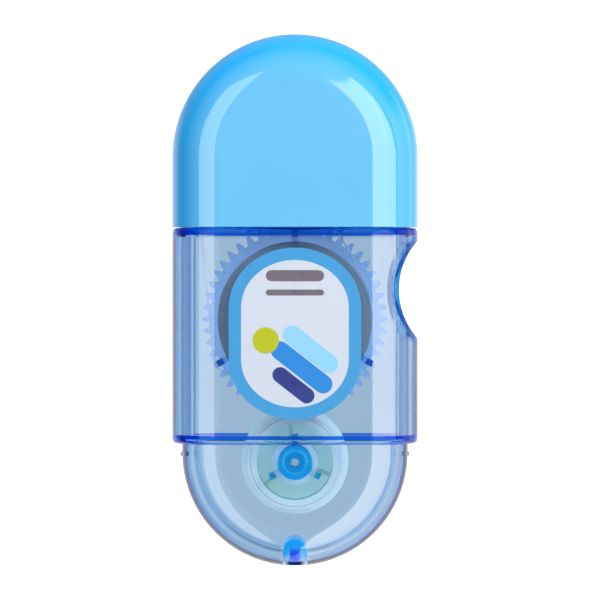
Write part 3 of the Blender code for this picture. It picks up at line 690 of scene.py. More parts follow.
def rim_tint(name, z_low, z_high, inset, material):
    """A thin frame inside the ledge at one end of the band, where the plastic looks deepest."""
    half_width = CORE_HALF_WIDTH - SIDE_WALL + TINT_INSET
    half_depth = CORE_HALF_DEPTH - FACE_WALL + TINT_INSET
    inner = rounded_section(half_width, half_depth, CORE_INNER_EDGE + TINT_INSET)
    frame_ring = upright(band_section(inset), (z_low, z_high))
    cut(frame_ring, upright(inner, (z_low - OVERLAP, z_high + OVERLAP)))
    cut(frame_ring, notch_cutter(NOTCH_RADIUS + TINT_INSET))
    keep_seam_clear(frame_ring)
    finish_tint(frame_ring, name, material)


def band_layer(near, far):
    """A layer inside the band's side walls, between two depths from the outer face."""
    layer = upright(band_section(near))
    cut(layer, upright(band_section(far), (BOTTOM_Z, TOP_Z)))
    cut(layer, notch_cutter(NOTCH_RADIUS + NOTCH_WALL))
    return layer


def foot_layer(near, far):
    """A layer inside the foot's side wall, between two depths from the outer face."""
    layer = core_pillow(near)
    half_gap = SOCKET_RADIUS + OVERLAP
    cut(layer, core_pillow(far), box((-FAR, -FAR, BAND_BOTTOM_Z), (FAR, FAR, FAR)))
    cut(layer, box((-half_gap, -FAR, -FAR), (half_gap, FAR, SOCKET_Z + 2 * SOCKET_RADIUS)))
    return layer


def wall_tints(wall, line):
    """Blue held in the side walls, and a thin dark line along their inner face, which is painted shade."""
    depth = WALL_TINT_HALF_DEPTH
    inner_face = SIDE_WALL - TINT_INSET
    line_start = inner_face - LINE_TINT
    layers = [
        ("wall_tint", TINT_INSET, line_start - TINT_INSET / 2, wall),
        # Painted shade: a dark line along the inner face of the wall.
        ("wall_shade_line", line_start, inner_face, line),
    ]
    for name, near, far, material in layers:
        for place, layer in (("band", band_layer(near, far)), ("foot", foot_layer(near, far))):
            combine(layer, box((-FAR, -depth, -FAR), (FAR, depth, FAR)), "INTERSECT")
            keep_seam_clear(layer)
            finish_tint(layer, f"{place}_{name}", material)


def notch_tint(material):
    """A thin curved plate inside the wall round the finger notch."""
    radii = (NOTCH_RADIUS + TINT_INSET / 2, NOTCH_RADIUS + NOTCH_TINT)
    plate = tube(NOTCH_X, NOTCH_Z, *radii, -HALF_DEPTH, HALF_DEPTH, NOTCH_STEPS)
    combine(plate, upright(band_section(TINT_INSET)), "INTERSECT")
    keep_seam_clear(plate)
    finish_tint(plate, "notch_rim_tint", material)


def finger_cores(axis_z, wall_y, finger, end_y):
    """Cores that fill the three deep fingers round a reel."""
    inset = TINT_INSET / 2
    reach = (finger[0] + inset, finger[1] - inset)
    bars = []
    for angle in RIB_ANGLES:
        width = RIB_WIDTH - 2 * inset
        bars.append(radial_bar(axis_z, angle, *reach, wall_y, end_y - inset, width))
    join(bars[0], *bars[1:])
    return bars[0]


def supply_finger_tint(material):
    cores = finger_cores(SUPPLY_Z, -HALF_DEPTH + FACE_WALL / 2, SUPPLY_FINGER, SUPPLY_FINGER_END_Y)
    finish_tint(cores, "supply_finger_tint", material)


def latch_window(inset):
    """An arch of colour in the front wall, ahead of the latch at the foot and open before its peg."""
    y_end = PEG_END_Y - PEG_GAP - inset
    plate = disc(0.0, SOCKET_Z + inset, SOCKET_RADIUS, -CORE_HALF_DEPTH, y_end, SMALL_ROUND_STEPS)
    combine(plate, core_pillow(inset), "INTERSECT")
    inner_depth = CORE_HALF_DEPTH - FACE_WALL + inset
    cut(plate, pillow(core_outline, SIDE_WALL - inset, inner_depth, CORE_INNER_EDGE + inset))
    half = PEG_HALF_WIDTH + inset
    cut(plate, box((-half, -HALF_DEPTH, BOTTOM_Z), (half, HALF_DEPTH, PEG_TOP_Z - inset)))
    return plate


def pin_tint(material):
    """Cores in the front shell's take-up pin and fingers, and in the arch at the foot and its wall."""
    inset = TINT_INSET
    wall_y = (-CORE_HALF_DEPTH + inset, -CORE_HALF_DEPTH + FACE_WALL - inset)
    cores = tube(0.0, TAKEUP_Z, PIN_CORE_HOLE + inset, PIN_RADIUS - inset, wall_y[0], PIN_END_Y - inset)
    join(cores, tube(0.0, TAKEUP_Z, PIN_CORE_HOLE + inset, POST_RADIUS, *wall_y))
    join(cores, finger_cores(TAKEUP_Z, wall_y[0], TAKEUP_FINGER, TAKEUP_FINGER_END_Y))
    radii = (SOCKET_BORE + inset, SOCKET_RADIUS - inset)
    arch = tube(0.0, SOCKET_Z, *radii, -CORE_HALF_DEPTH + FACE_WALL, SOCKET_END_Y - inset)
    below_arch = (-SOCKET_RADIUS, -HALF_DEPTH, BOTTOM_Z)
    cut(arch, box(below_arch, (SOCKET_RADIUS, HALF_DEPTH, SOCKET_Z + inset)))
    join(cores, arch, latch_window(inset))
    finish_tint(cores, "pin_core_tint", material)


def post_tint(material):
    """A core inside the back shell's take-up post."""
    inset = TINT_INSET
    wall_y = CORE_HALF_DEPTH - FACE_WALL / 2
    cores = tube(0.0, TAKEUP_Z, POST_BORE + inset, POST_RADIUS - inset, POST_FRONT_Y + inset, wall_y)
    finish_tint(cores, "post_core_tint", material)


def peg_tint(material):
    """A core inside the back shell's peg at the foot."""
    inset = TINT_INSET
    low = (-PEG_HALF_WIDTH + inset, PEG_END_Y + inset, PEG_BOTTOM_Z + 2 * inset)
    core = box(low, (PEG_HALF_WIDTH - inset, OVERLAP / 2, PEG_TOP_Z - inset))
    finish_tint(core, "peg_core_tint", material)


# ---- reels


def gear_outline(teeth, axis_z, first_tooth):
    """An involute gear seen from the front, with a tooth centred on the angle first_tooth."""
    pitch = GEAR_MODULE * teeth / 2
    base = pitch * cos(PRESSURE_ANGLE)
    tip = pitch + GEAR_MODULE
    root = pitch - 1.2 * GEAR_MODULE

    def half_angle(radius):
        slope = acos(min(1.0, base / max(radius, base)))
        at_pitch = pi / (2 * teeth) - BACKLASH / (2 * pitch)
        return at_pitch + (tan(PRESSURE_ANGLE) - PRESSURE_ANGLE) - (tan(slope) - slope)

    low = max(root, base)
    radii = [low + (tip - low) * i / FLANK_STEPS for i in range(FLANK_STEPS + 1)]
    if root < base:
        radii.insert(0, root)
    points = []
    for k in range(teeth):
        centre = first_tooth + 2 * pi * k / teeth
        points += [polar(0.0, axis_z, r, centre - half_angle(r)) for r in radii]
        points += [polar(0.0, axis_z, r, centre + half_angle(r)) for r in reversed(radii)]
    return points


def make_supply_gear(material):
    """The large gear, with a ribbed recess in its back face and the sleeve that the spool rides on."""
    gear = prism(gear_outline(SUPPLY_TEETH, SUPPLY_Z, -pi / 2), GEAR_FRONT_Y, GEAR_BACK_Y)
    recess_y = GEAR_BACK_Y - GEAR_RECESS_DEPTH
    recess = tube(0.0, SUPPLY_Z, *GEAR_RECESS, recess_y, GEAR_BACK_Y + OVERLAP)
    for k in range(GEAR_RIBS):
        angle = 2 * pi * (k + 0.5) / GEAR_RIBS
        reach = (GEAR_RECESS[0] - OVERLAP, GEAR_RECESS[1] + OVERLAP)
        bar = radial_bar(SUPPLY_Z, angle, *reach, recess_y - OVERLAP, GEAR_BACK_Y + 2 * OVERLAP)
        cut(recess, bar)
    cut(gear, recess)
    join(gear, disc(0.0, SUPPLY_Z, SLEEVE_RADIUS, SLEEVE_FRONT_Y, SLEEVE_BACK_Y))
    cut(gear, disc(0.0, SUPPLY_Z, HUB_BORE, SLEEVE_FRONT_Y - OVERLAP, GEAR_BACK_Y + OVERLAP))
    soften(gear, TOOTH_ROUNDING)
    finish_piece(gear, "drive_gear", material, "supply_gear", "gear", "supply_gear")


def make_supply_core(material):
    spool = tube(0.0, SUPPLY_Z, SPOOL_BORE, SPOOL_RADIUS, CORE_FRONT_Y, FLANGE_BACK_Y)
    join(spool, tube(0.0, SUPPLY_Z, FLANGE_BORE, SPOOL_FLANGE_RADIUS, FLANGE_FRONT_Y, FLANGE_BACK_Y))
    finish_piece(spool, "supply_spool_core", material, "supply_spool", "gear", "supply_core")


def wound(axis_z, r_inner, r_outer, layers, unevenness, steps):
    """Wound tape, whose side faces step in and out a little from layer to layer."""
    front = []
    for k in range(layers):
        r0 = r_inner + (r_outer - r_inner) * k / layers
        r1 = r_inner + (r_outer - r_inner) * (k + 0.88) / layers
        step = unevenness * (0.5 + 0.5 * sin(k * 2.4) * cos(k * 0.7))
        front += [(r0, step), (r1, step)]
    front[-1] = (r_outer, front[-1][1])
    back = [(r, TAPE_BACK_Y - step) for r, step in reversed(front)]
    return lathe(0.0, axis_z, [(r, TAPE_FRONT_Y + step) for r, step in front] + back, steps)


def make_supply_roll(material):
    roll = wound(SUPPLY_Z, ROLL_INNER_RADIUS, ROLL_RADIUS, *ROLL_WINDING)
    finish_piece(roll, "wound_tape_roll", material, "supply_spool", "wound_tape", "supply_tape_roll")


def make_takeup_reel(material):
    """Gear, flange, drum, hub and three spokes in one moulding."""
    gap_at_top = pi / 2 + pi / TAKEUP_TEETH
    reel = prism(gear_outline(TAKEUP_TEETH, TAKEUP_Z, gap_at_top), GEAR_FRONT_Y, GEAR_BACK_Y)
    flange_radius = GEAR_MODULE * (TAKEUP_TEETH / 2 + 1)
    neck_radius = flange_radius - 2.5 * GEAR_MODULE
    join(reel, disc(0.0, TAKEUP_Z, neck_radius, NECK_FRONT_Y, NECK_BACK_Y))
    join(reel, disc(0.0, TAKEUP_Z, flange_radius, TAKEUP_FLANGE_FRONT_Y, TAKEUP_FLANGE_BACK_Y))
    drum = disc(0.0, TAKEUP_Z, DRUM_RADIUS, CORE_FRONT_Y, DRUM_BACK_Y)
    cut(drum, disc(0.0, TAKEUP_Z, DRUM_INNER_RADIUS, CORE_FRONT_Y - OVERLAP, TAKEUP_FLANGE_BACK_Y))
    join(reel, drum)
    for k in range(3):
        angle = SPOKE_START_ANGLE + 2 * pi * k / 3
        r_end = (DRUM_INNER_RADIUS + DRUM_RADIUS) / 2
        join(reel, radial_bar(TAKEUP_Z, angle, HUB_BORE, r_end, SPOKE_FRONT_Y, SPOKE_BACK_Y, SPOKE_WIDTH))
    join(reel, disc(0.0, TAKEUP_Z, TAKEUP_HUB_RADIUS, CORE_FRONT_Y, TAKEUP_HUB_BACK_Y))
    cut(reel, disc(0.0, TAKEUP_Z, HUB_BORE, CORE_FRONT_Y - OVERLAP, GEAR_BACK_Y + OVERLAP))
    soften(reel, TOOTH_ROUNDING)
    finish_piece(reel, "mint_takeup_reel", material, "takeup_reel", "mint", "takeup_reel")


def make_takeup_wrap(material):
    wrap = wound(TAKEUP_Z, WRAP_INNER_RADIUS, WRAP_RADIUS, *WRAP_WINDING)
    finish_piece(wrap, "used_tape_wrap", material, "takeup_reel", "tape", "takeup_tape_wrap")


# ---- tape strips


def tangent(first, second):
    """Where the straight run between two guides leaves the first and meets the second.

    A guide is (x, z, radius, way). The way is 1 for a tape that turns anticlockwise round it, else -1."""
    x1, z1, r1, way1 = first
    x2, z2, r2, way2 = second
    distance = hypot(x2 - x1, z2 - z1)
    normal = atan2(z2 - z1, x2 - x1) + acos((way2 * r2 - way1 * r1) / distance)
    nx, nz = cos(normal), sin(normal)
    return (x1 - way1 * r1 * nx, z1 - way1 * r1 * nz), (x2 - way2 * r2 * nx, z2 - way2 * r2 * nz)


def tape_guides():
    off = STRIP_CLEARANCE + STRIP_THICKNESS / 2
    finger_radius = sum(SUPPLY_FINGER) / 2
    finger_x, finger_z = polar(0.0, SUPPLY_Z, finger_radius, RIB_ANGLES[1])
    finger_size = hypot(SUPPLY_FINGER[1] - SUPPLY_FINGER[0], RIB_WIDTH) / 2 + FINGER_CLEARANCE
    tip_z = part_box("tip_blade")[1].z - BLADE_TIP_RADIUS
    guides = [(0.0, SUPPLY_Z, ROLL_RADIUS + STRIP_END_GAP, 1)]
    for name, way in zip((ROLLERS[0], None, *ROLLERS[1:]), (-1, 1, -1, 1)):
        x, z, radius = round_node(name)[:3] if name else (0.0, tip_z, BLADE_TIP_RADIUS)
        guides.append((x, z, radius + off, way))
    guides.append((finger_x, finger_z, finger_size + off, 1))
    guides.append((0.0, TAKEUP_Z, WRAP_RADIUS + STRIP_END_GAP, -1))
    return guides


def tape_path():
    """The tape's centre line from the full roll, over the tip, to the take-up reel, as (x, z) points."""
    guides = tape_guides()
    runs = [tangent(a, b) for a, b in zip(guides, guides[1:])]
    points = [runs[0][0]]
    for (_, arrive), (leave, _), (x, z, radius, way) in zip(runs, runs[1:], guides[1:]):
        start = atan2(arrive[1] - z, arrive[0] - x)
        turn = (way * (atan2(leave[1] - z, leave[0] - x) - start)) % (2 * pi)
        steps = max(2, ceil(turn / STRIP_STEP))
        for i in range(steps + 1):
            angle = start + way * turn * i / steps
            points.append(polar(x, z, radius, angle))
    return points + [runs[-1][1]]


def ribbon_outline(points, thickness):
    """A thin closed outline of even thickness along a line of points."""
    sides = ([], [])
    for i, (x, z) in enumerate(points):
        x0, z0 = points[max(i - 1, 0)]
        x1, z1 = points[min(i + 1, len(points) - 1)]
        length = hypot(x1 - x0, z1 - z0)
        nx, nz = -(z1 - z0) / length, (x1 - x0) / length
        for side, way in zip(sides, (1, -1)):
            side.append((x + way * nx * thickness / 2, z + way * nz * thickness / 2))
    return sides[0] + sides[1][::-1]


def make_tape_strips(white, film):
    """The fresh tape up to the tip, and the bare carrier film from there to the take-up reel."""
    points = tape_path()
    top = max(range(len(points)), key=lambda i: points[i][1])
    fresh = prism(ribbon_outline(points[: top + 1], STRIP_THICKNESS), TAPE_FRONT_Y, TAPE_BACK_Y)
    finish_piece(fresh, "fresh_tape_strip", white, "case", "tape", "tape_run")
    used = prism(ribbon_outline(points[top:], STRIP_THICKNESS / 2), TAPE_FRONT_Y, TAPE_BACK_Y)
    finish_piece(used, "used_film_strip", film, "case", "tape")


# ---- materials


def node(tree, kind, settings=None, **inputs):
    """A shader node, with its inputs set to values or linked to sockets."""
    made = tree.nodes.new("ShaderNode" + kind)
    for key, value in (settings or {}).items():
        setattr(made, key, value)
    for key, value in inputs.items():
        put(tree, made.inputs[key.replace("_", " ")], value)
    return made


def put(tree, target, value):
    if isinstance(value, bpy.types.NodeSocket):
        tree.links.new(value, target)
    else:
        target.default_value = (*value, 1.0) if target.type == "RGBA" else value


def calculate(tree, operation, *values):
    made = tree.nodes.new("ShaderNodeMath")
    made.operation = operation
    for target, value in zip(made.inputs, values):
        put(tree, target, value)
    return made.outputs[0]


def chain(operation):
    """A function that takes any number of values through one operation, one after another."""

    def apply(tree, first, *others):
        for other in others:
            first = calculate(tree, operation, first, other)
        return first

    return apply


product, total, highest = chain("MULTIPLY"), chain("ADD"), chain("MAXIMUM")


def rest_of(tree, share):
    return calculate(tree, "SUBTRACT", 1.0, share)


def remap(tree, value, from_low, from_high, to_low=0.0, to_high=1.0, smooth=False):
    settings = {"interpolation_type": "SMOOTHSTEP" if smooth else "LINEAR"}
    made = node(tree, "MapRange", settings, Value=value, From_Min=from_low, From_Max=from_high)
    put(tree, made.inputs["To Min"], to_low)
    put(tree, made.inputs["To Max"], to_high)
    return made.outputs["Result"]


def window(tree, value, low, high, soft=0.02):
    """1 between low and high, 0 outside, with soft edges."""
    rises = remap(tree, value, low - soft, low + soft, smooth=True)
    falls = remap(tree, value, high - soft, high + soft, 1.0, 0.0, smooth=True)
    return product(tree, rises, falls)


def mix_colour(tree, share, first, second):
    made = tree.nodes.new("ShaderNodeMix")
    made.data_type = "RGBA"
    put(tree, made.inputs[0], share)
    put(tree, made.inputs[6], first)
    put(tree, made.inputs[7], second)
    return made.outputs[2]


def mix_shaders(tree, share, first, second):
    made = node(tree, "MixShader", Fac=share)
    put(tree, made.inputs[1], first.outputs[0])
    put(tree, made.inputs[2], second.outputs[0])
    return made


def add_shaders(tree, first, second):
    made = node(tree, "AddShader")
    put(tree, made.inputs[0], first.outputs[0])
    put(tree, made.inputs[1], second.outputs[0])
    return made


def own_space(tree):
    return node(tree, "TexCoord").outputs["Object"]


def grain(tree, scale, detail=4.0):
    """Noise in the piece's own space. Scale is in cycles per metre."""
    return node(tree, "TexNoise", Vector=own_space(tree), Scale=scale, Detail=detail).outputs["Fac"]


def drift(tree, scale, low=0.0, high=1.0, spread=(0.3, 0.7), detail=4.0):
    """A value that wanders between low and high over the piece."""
    return remap(tree, grain(tree, scale, detail), *spread, low, high)


def bumps(tree, strength, height, distance=0.02 * MM):
    return node(tree, "Bump", Strength=strength, Distance=distance, Height=height).outputs["Normal"]


def coordinates(tree):
    return node(tree, "SeparateXYZ", Vector=own_space(tree)).outputs


def distance_from(tree, place, x, z):
    """The distance from an axis along Y, in the piece's own space."""
    across = calculate(tree, "POWER", calculate(tree, "SUBTRACT", place["X"], x), 2.0)
    along = calculate(tree, "POWER", calculate(tree, "SUBTRACT", place["Z"], z), 2.0)
    return calculate(tree, "SQRT", total(tree, across, along))


def plastic(tree, colour, roughness, normal, **others):
    return node(tree, "BsdfPrincipled", Base_Color=colour, Roughness=roughness, Normal=normal, **others)


def empty_material(name):
    """A new material and its node tree, whose first node is the output."""
    material = bpy.data.materials.new(name)
    material.use_nodes = True
    tree = material.node_tree
    tree.nodes.clear()
    tree.nodes.new("ShaderNodeOutputMaterial")
    return material, tree


def show(tree, shader, socket="Surface"):
    """Connects a shader to the tree's output, which is its first node."""
    put(tree, tree.nodes[0].inputs[socket], shader.outputs[0])


def absorb(tree, loss, share=1.0):
    """Makes the inside of the piece take up red, green and blue light at these rates, per metre."""
    most = max(loss)
    colour = tuple(1 - value / most for value in loss)
    density = product(tree, share, most)
    show(tree, node(tree, "VolumeAbsorption", Color=colour, Density=density), "Volume")


def scratched(tree, gloss, depth):
    """The gloss, made rougher on fine hairline scratches."""
    stretch = (1.0, 1.0, 0.06)
    mapped = node(tree, "Mapping", Vector=own_space(tree), Rotation=(0.0, 0.5, 0.0), Scale=stretch)
    noise = node(tree, "TexNoise", Vector=mapped.outputs["Vector"], Scale=900.0, Detail=2.0)
    lines = remap(tree, noise.outputs["Fac"], 0.68, 0.74, smooth=True)
    return total(tree, gloss, product(tree, lines, depth))


def moulded(name, colour, roughness, bump=0.15, glow=0.25, deep=None):
    """Moulded plastic: uneven colour and gloss, faint orange peel, scratches and some translucency.

    For a round part, a tuple of (colour, axis z, radius, shade) adds painted shade. Inside the radius the
    far floor of the recess takes the colour, and the shade is how much darker the back face reflects."""
    material, tree = empty_material(name)
    base = mix_colour(tree, drift(tree, 160.0), tuple(c * 0.94 for c in colour), colour)
    face = base
    if deep:
        # Painted shade: a deeper colour on the far floor of the recess, and a darker back face.
        recess_shade_colour, axis_z, reach, painted_back_shade = deep
        place = coordinates(tree)
        radius = distance_from(tree, place, 0.0, axis_z)
        inside = remap(tree, radius, reach - MASK_EDGE, reach + MASK_EDGE, 1.0, 0.0)
        far = remap(tree, place["Y"], -2.6 * MM, 0.0, smooth=True)
        base = mix_colour(tree, product(tree, inside, far), base, recess_shade_colour)
        back_y = (GEAR_BACK_Y - 0.5 * MM, GEAR_BACK_Y - 0.2 * MM)
        shaded = remap(tree, place["Y"], *back_y, 0.0, painted_back_shade, smooth=True)
        face = mix_colour(tree, shaded, base, (0.0, 0.0, 0.0))
    gloss = scratched(tree, drift(tree, 700.0, roughness * 0.8, roughness * 1.25), 0.08)
    peel = bumps(tree, bump, grain(tree, 2600.0, 5.0))
    lit_through = node(tree, "BsdfTranslucent", Color=base)
    show(tree, mix_shaders(tree, glow, plastic(tree, face, gloss, peel), lit_through))
    return material


def cap_plastic():
    """Glossy opaque sky-blue plastic, lighter where the surface faces the view and deeper where it turns
    from it. The change is painted: a sheen on the face and shade towards the edges.
    """
    material, tree = empty_material("cap_sky_blue")
    # Painted sheen and shade: the lighter face colour gives way to a deeper blue as the surface turns from
    # the view.
    turned = remap(tree, node(tree, "LayerWeight", Blend=0.5).outputs["Facing"], 0.0, 0.36)
    uneven = drift(tree, 90.0, spread=(0.35, 0.65))
    face = mix_colour(tree, uneven, (0.132, 0.485, 0.81), (0.144, 0.505, 0.83))
    base = mix_colour(tree, turned, face, (0.012, 0.39, 0.88))
    gloss = scratched(tree, drift(tree, 600.0, 0.045, 0.07), 0.05)
    peel = bumps(tree, 0.04, grain(tree, 900.0, 3.0))
    show(tree, plastic(tree, base, gloss, peel, IOR=1.55))
    return material


def deep_places(tree):
    """1 on the band's two rims and on the wall round its notch, and 0 elsewhere.

    The photo shows little glare there, so the clear plastic dims it."""
    place = coordinates(tree)
    wall_edge = NOTCH_RADIUS + NOTCH_WALL
    reach = distance_from(tree, place, NOTCH_X, NOTCH_Z)
    notch = remap(tree, reach, wall_edge - MASK_EDGE, wall_edge + MASK_EDGE, 1.0, 0.0)
    top = window(tree, place["Z"], TOP_TINT_Z[0], BAND_TOP_Z + CAP_GAP, MASK_EDGE / 2)
    bottom = window(tree, place["Z"], BOTTOM_TINT_Z[0] - LINE_TINT, BOTTOM_TINT_Z[1], MASK_EDGE / 2)
    return highest(tree, notch, highest(tree, top, bottom))


def painted_shade_lines(tree):
    """1 on a thin line down each side of the band, over the inner face of its wall, and 0 elsewhere.
    Painted shade goes there.
    """
    place = coordinates(tree)
    line_x = HALF_WIDTH - SIDE_WALL - LINE_TINT / 2
    across = calculate(tree, "ABSOLUTE", place["X"])
    sides = window(tree, across, line_x - LINE_TINT, line_x + LINE_TINT, 0.08 * MM)
    return product(tree, sides, window(tree, place["Z"], BOTTOM_TINT_Z[1], TOP_TINT_Z[0], MASK_EDGE / 2))


def clear_plastic():
    """Clear blue polystyrene, coloured by the light's path in it and by the tints held in its walls.

    Two effects are painted: dimmer glare in the deep places, and a dark line of painted shade on the
    band's inner edges."""
    material, tree = empty_material("clear_blue")
    glare = mix_colour(tree, deep_places(tree), (1.0, 1.0, 1.0), (0.08, 0.2, 0.5))
    gloss = scratched(tree, drift(tree, 500.0, 0.0, 0.018, (0.35, 0.7)), 0.05)
    peel = bumps(tree, 0.03, grain(tree, 350.0, 2.0))
    # Painted shade: a dark line over the inner face of the band's wall.
    base = mix_colour(tree, painted_shade_lines(tree), (0.865, 0.937, 0.988), (0.12, 0.25, 0.55))
    glass = plastic(tree, base, gloss, peel, IOR=1.58, Transmission_Weight=1.0, Specular_Tint=glare)
    path = node(tree, "LightPath").outputs
    passes = highest(tree, path["Is Shadow Ray"], path["Is Diffuse Ray"])
    show(tree, mix_shaders(tree, passes, glass, node(tree, "BsdfTransparent", Color=(0.95, 0.975, 1.0))))
    absorb(tree, BLUE_LOSS, remap(tree, passes, 0.0, 1.0, 1.0, LIGHTING_LOSS_SHARE))
    return material


def deep_tint(name, loss, glow, scatter):
    """Deeper colour held inside a clear wall. The loss is how fast it takes up light, per metre.

    The glow is the share of light that it scatters in the scatter colour, as thick plastic does."""
    material, tree = empty_material(name)
    streak = drift(tree, 260.0, spread=(0.35, 0.65), detail=3.0)
    streaked = mix_colour(tree, streak, (0.96, 0.98, 1.0), (0.90, 0.95, 1.0))
    through = node(tree, "BsdfTransparent", Color=streaked)
    scattered = node(tree, "BsdfTranslucent", Color=scatter)
    lit = node(tree, "BsdfDiffuse", Color=scatter)
    show(tree, mix_shaders(tree, glow, through, add_shaders(tree, scattered, lit)))
    absorb(tree, loss)
    return material


def milky_plastic(name, colour, clear_share):
    """Natural polypropylene: partly clear, partly scattering, with uneven clouding."""
    material, tree = empty_material(name)
    peel = bumps(tree, 0.12, grain(tree, 2600.0, 5.0))
    gloss = drift(tree, 700.0, 0.16, 0.3)
    lit_through = node(tree, "BsdfTranslucent", Color=colour)
    solid = mix_shaders(tree, 0.45, plastic(tree, colour, gloss, peel), lit_through)
    clear = node(tree, "BsdfTransparent", Color=(0.88, 0.94, 1.0))
    show(tree, mix_shaders(tree, drift(tree, 300.0, clear_share * 0.9, clear_share * 1.1), solid, clear))
    return material


def clear_film():
    """Used carrier film: thin, nearly clear, with a soft satin face."""
    material, tree = empty_material("clear_film")
    gloss = drift(tree, 1500.0, 0.25, 0.4)
    satin = node(tree, "BsdfPrincipled", Base_Color=(0.82, 0.88, 0.93), Roughness=gloss)
    show(tree, mix_shaders(tree, 0.28, node(tree, "BsdfTransparent", Color=(0.96, 0.98, 1.0)), satin))
    return material


def wound_tape(axis_z):
    """The side of a tape roll: fine rings of white tape and its grey carrier, with painted shade in the
    gaps between layers.
    """
    material, tree = empty_material("wound_tape")
    radius = distance_from(tree, coordinates(tree), 0.0, axis_z)
    rings = node(tree, "TexNoise", {"noise_dimensions": "1D"}, W=radius, Scale=9000.0, Detail=4.0)
    ring = remap(tree, rings.outputs["Fac"], 0.3, 0.7)
    # The darker grey falls where the bump sets the rings lower: the carrier, and painted shade in the
    # gaps.
    base = mix_colour(tree, ring, (0.145, 0.195, 0.255), (0.215, 0.275, 0.34))
    dust = drift(tree, 1500.0, 0.45, 0.7, (0.35, 0.65))
    normal = bumps(tree, 0.5, ring, 0.03 * MM)
    show(tree, plastic(tree, base, dust, normal))
    return material


def printed(name, colour):
    """Ink on a smooth laminated sheet, with fine print grain and a soft satin gloss."""
    material, tree = empty_material(name)
    base = mix_colour(tree, drift(tree, 5200.0, detail=2.0), tuple(c * 0.93 for c in colour), colour)
    gloss = drift(tree, 1200.0, PRINT_ROUGHNESS * 0.85, PRINT_ROUGHNESS * 1.2)
    paper = bumps(tree, 0.12, grain(tree, 4200.0), 0.01 * MM)
    show(tree, plastic(tree, base, gloss, paper))
    return material


def rubber():
    material, tree = empty_material("friction_rubber")
    base = mix_colour(tree, grain(tree, 900.0), (0.035, 0.036, 0.04), (0.075, 0.077, 0.082))
    rough = bumps(tree, 0.4, grain(tree, 4000.0, 5.0), 0.03 * MM)
    show(tree, plastic(tree, base, 0.8, rough))
    return material


# Key, name, loss, glow and scatter colour, as in deep_tint.
TINTS = (
    ("rim_tint", "deep_blue_rim", (1400.0, 540.0, 60.0), 0.12, (0.0, 0.07, 0.38)),
    ("notch_tint", "azure_rim", (1500.0, 230.0, 60.0), 0.07, (0.0, 0.17, 0.40)),
    ("azure_tint", "azure_core", (1200.0, 70.0, 30.0), 0.35, (0.0, 0.25, 0.44)),
    ("finger_tint", "deep_blue_core", (600.0, 200.0, 40.0), 0.3, (0.005, 0.10, 0.35)),
    ("peg_tint", "blue_peg_core", (2200.0, 420.0, 40.0), 0.3, (0.0, 0.13, 0.48)),
    ("wall_tint", "blue_wall", (110.0, 45.0, 12.0), 0.0, (0.0, 0.1, 0.4)),
    # Painted shade: the dark line along the inner face of the band's walls.
    ("line_tint", "deep_blue_line", (700.0, 330.0, 70.0), 0.0, (0.0, 0.1, 0.4)),
)
# Key, name and colour.
INKS = (
    ("label_sky", "label_sky_ink", (0.036, 0.285, 0.60)),
    ("label_white", "label_white_ink", (0.55, 0.62, 0.73)),
    ("ink_grey", "grey_ink", (0.125, 0.105, 0.14)),
    ("ink_sky", "sky_ink", (0.25, 0.58, 0.86)),
    ("ink_blue", "blue_ink", (0.01, 0.21, 0.62)),
    ("ink_navy", "navy_ink", (0.006, 0.02, 0.17)),
    ("ink_lime", "lime_ink", (0.41, 0.455, 0.002)),
)


def make_materials():
    # Painted shade for the take-up reel: a deeper mint on its recess floor, and a darker back face.
    mint_recess_shade = ((0.80, 0.95, 0.90), TAKEUP_Z, 5.2 * MM, 0.5)
    made = {
        "cap": cap_plastic(),
        "clear": clear_plastic(),
        "gear": moulded("natural_plastic", (0.80, 0.84, 0.90), 0.32),
        "mint": moulded("mint_plastic", (0.88, 0.94, 0.93), 0.32, glow=0.5, deep=mint_recess_shade),
        "toothed": milky_plastic("milky_blue", (0.27, 0.43, 0.68), 0.58),
        "head": moulded("head_plastic", (0.84, 0.89, 0.94), 0.28),
        "tape": moulded("white_tape", (0.84, 0.85, 0.87), 0.5, bump=0.3, glow=0.45),
        "film": clear_film(),
        "roll": wound_tape(SUPPLY_Z),
        "rubber": rubber(),
    }
    made.update({key: deep_tint(*recipe) for key, *recipe in TINTS})
    made.update({key: printed(*recipe) for key, *recipe in INKS})
    return made


# ---- CAD nodes that stay


def keep_node(name, material, round_edges=0.0):
    """A CAD node that stays, with its own material and softly rounded edges."""
    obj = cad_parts[name]
    obj.data.materials.clear()
    obj.data.materials.append(material)
    weld = obj.modifiers.new("weld", "WELD")
    weld.merge_threshold = WELD_DISTANCE
    if round_edges:
        add_bevel(obj, round_edges, 3)


# ---- stage


def in_radians(*angles):
    return [radians(angle) for angle in angles]


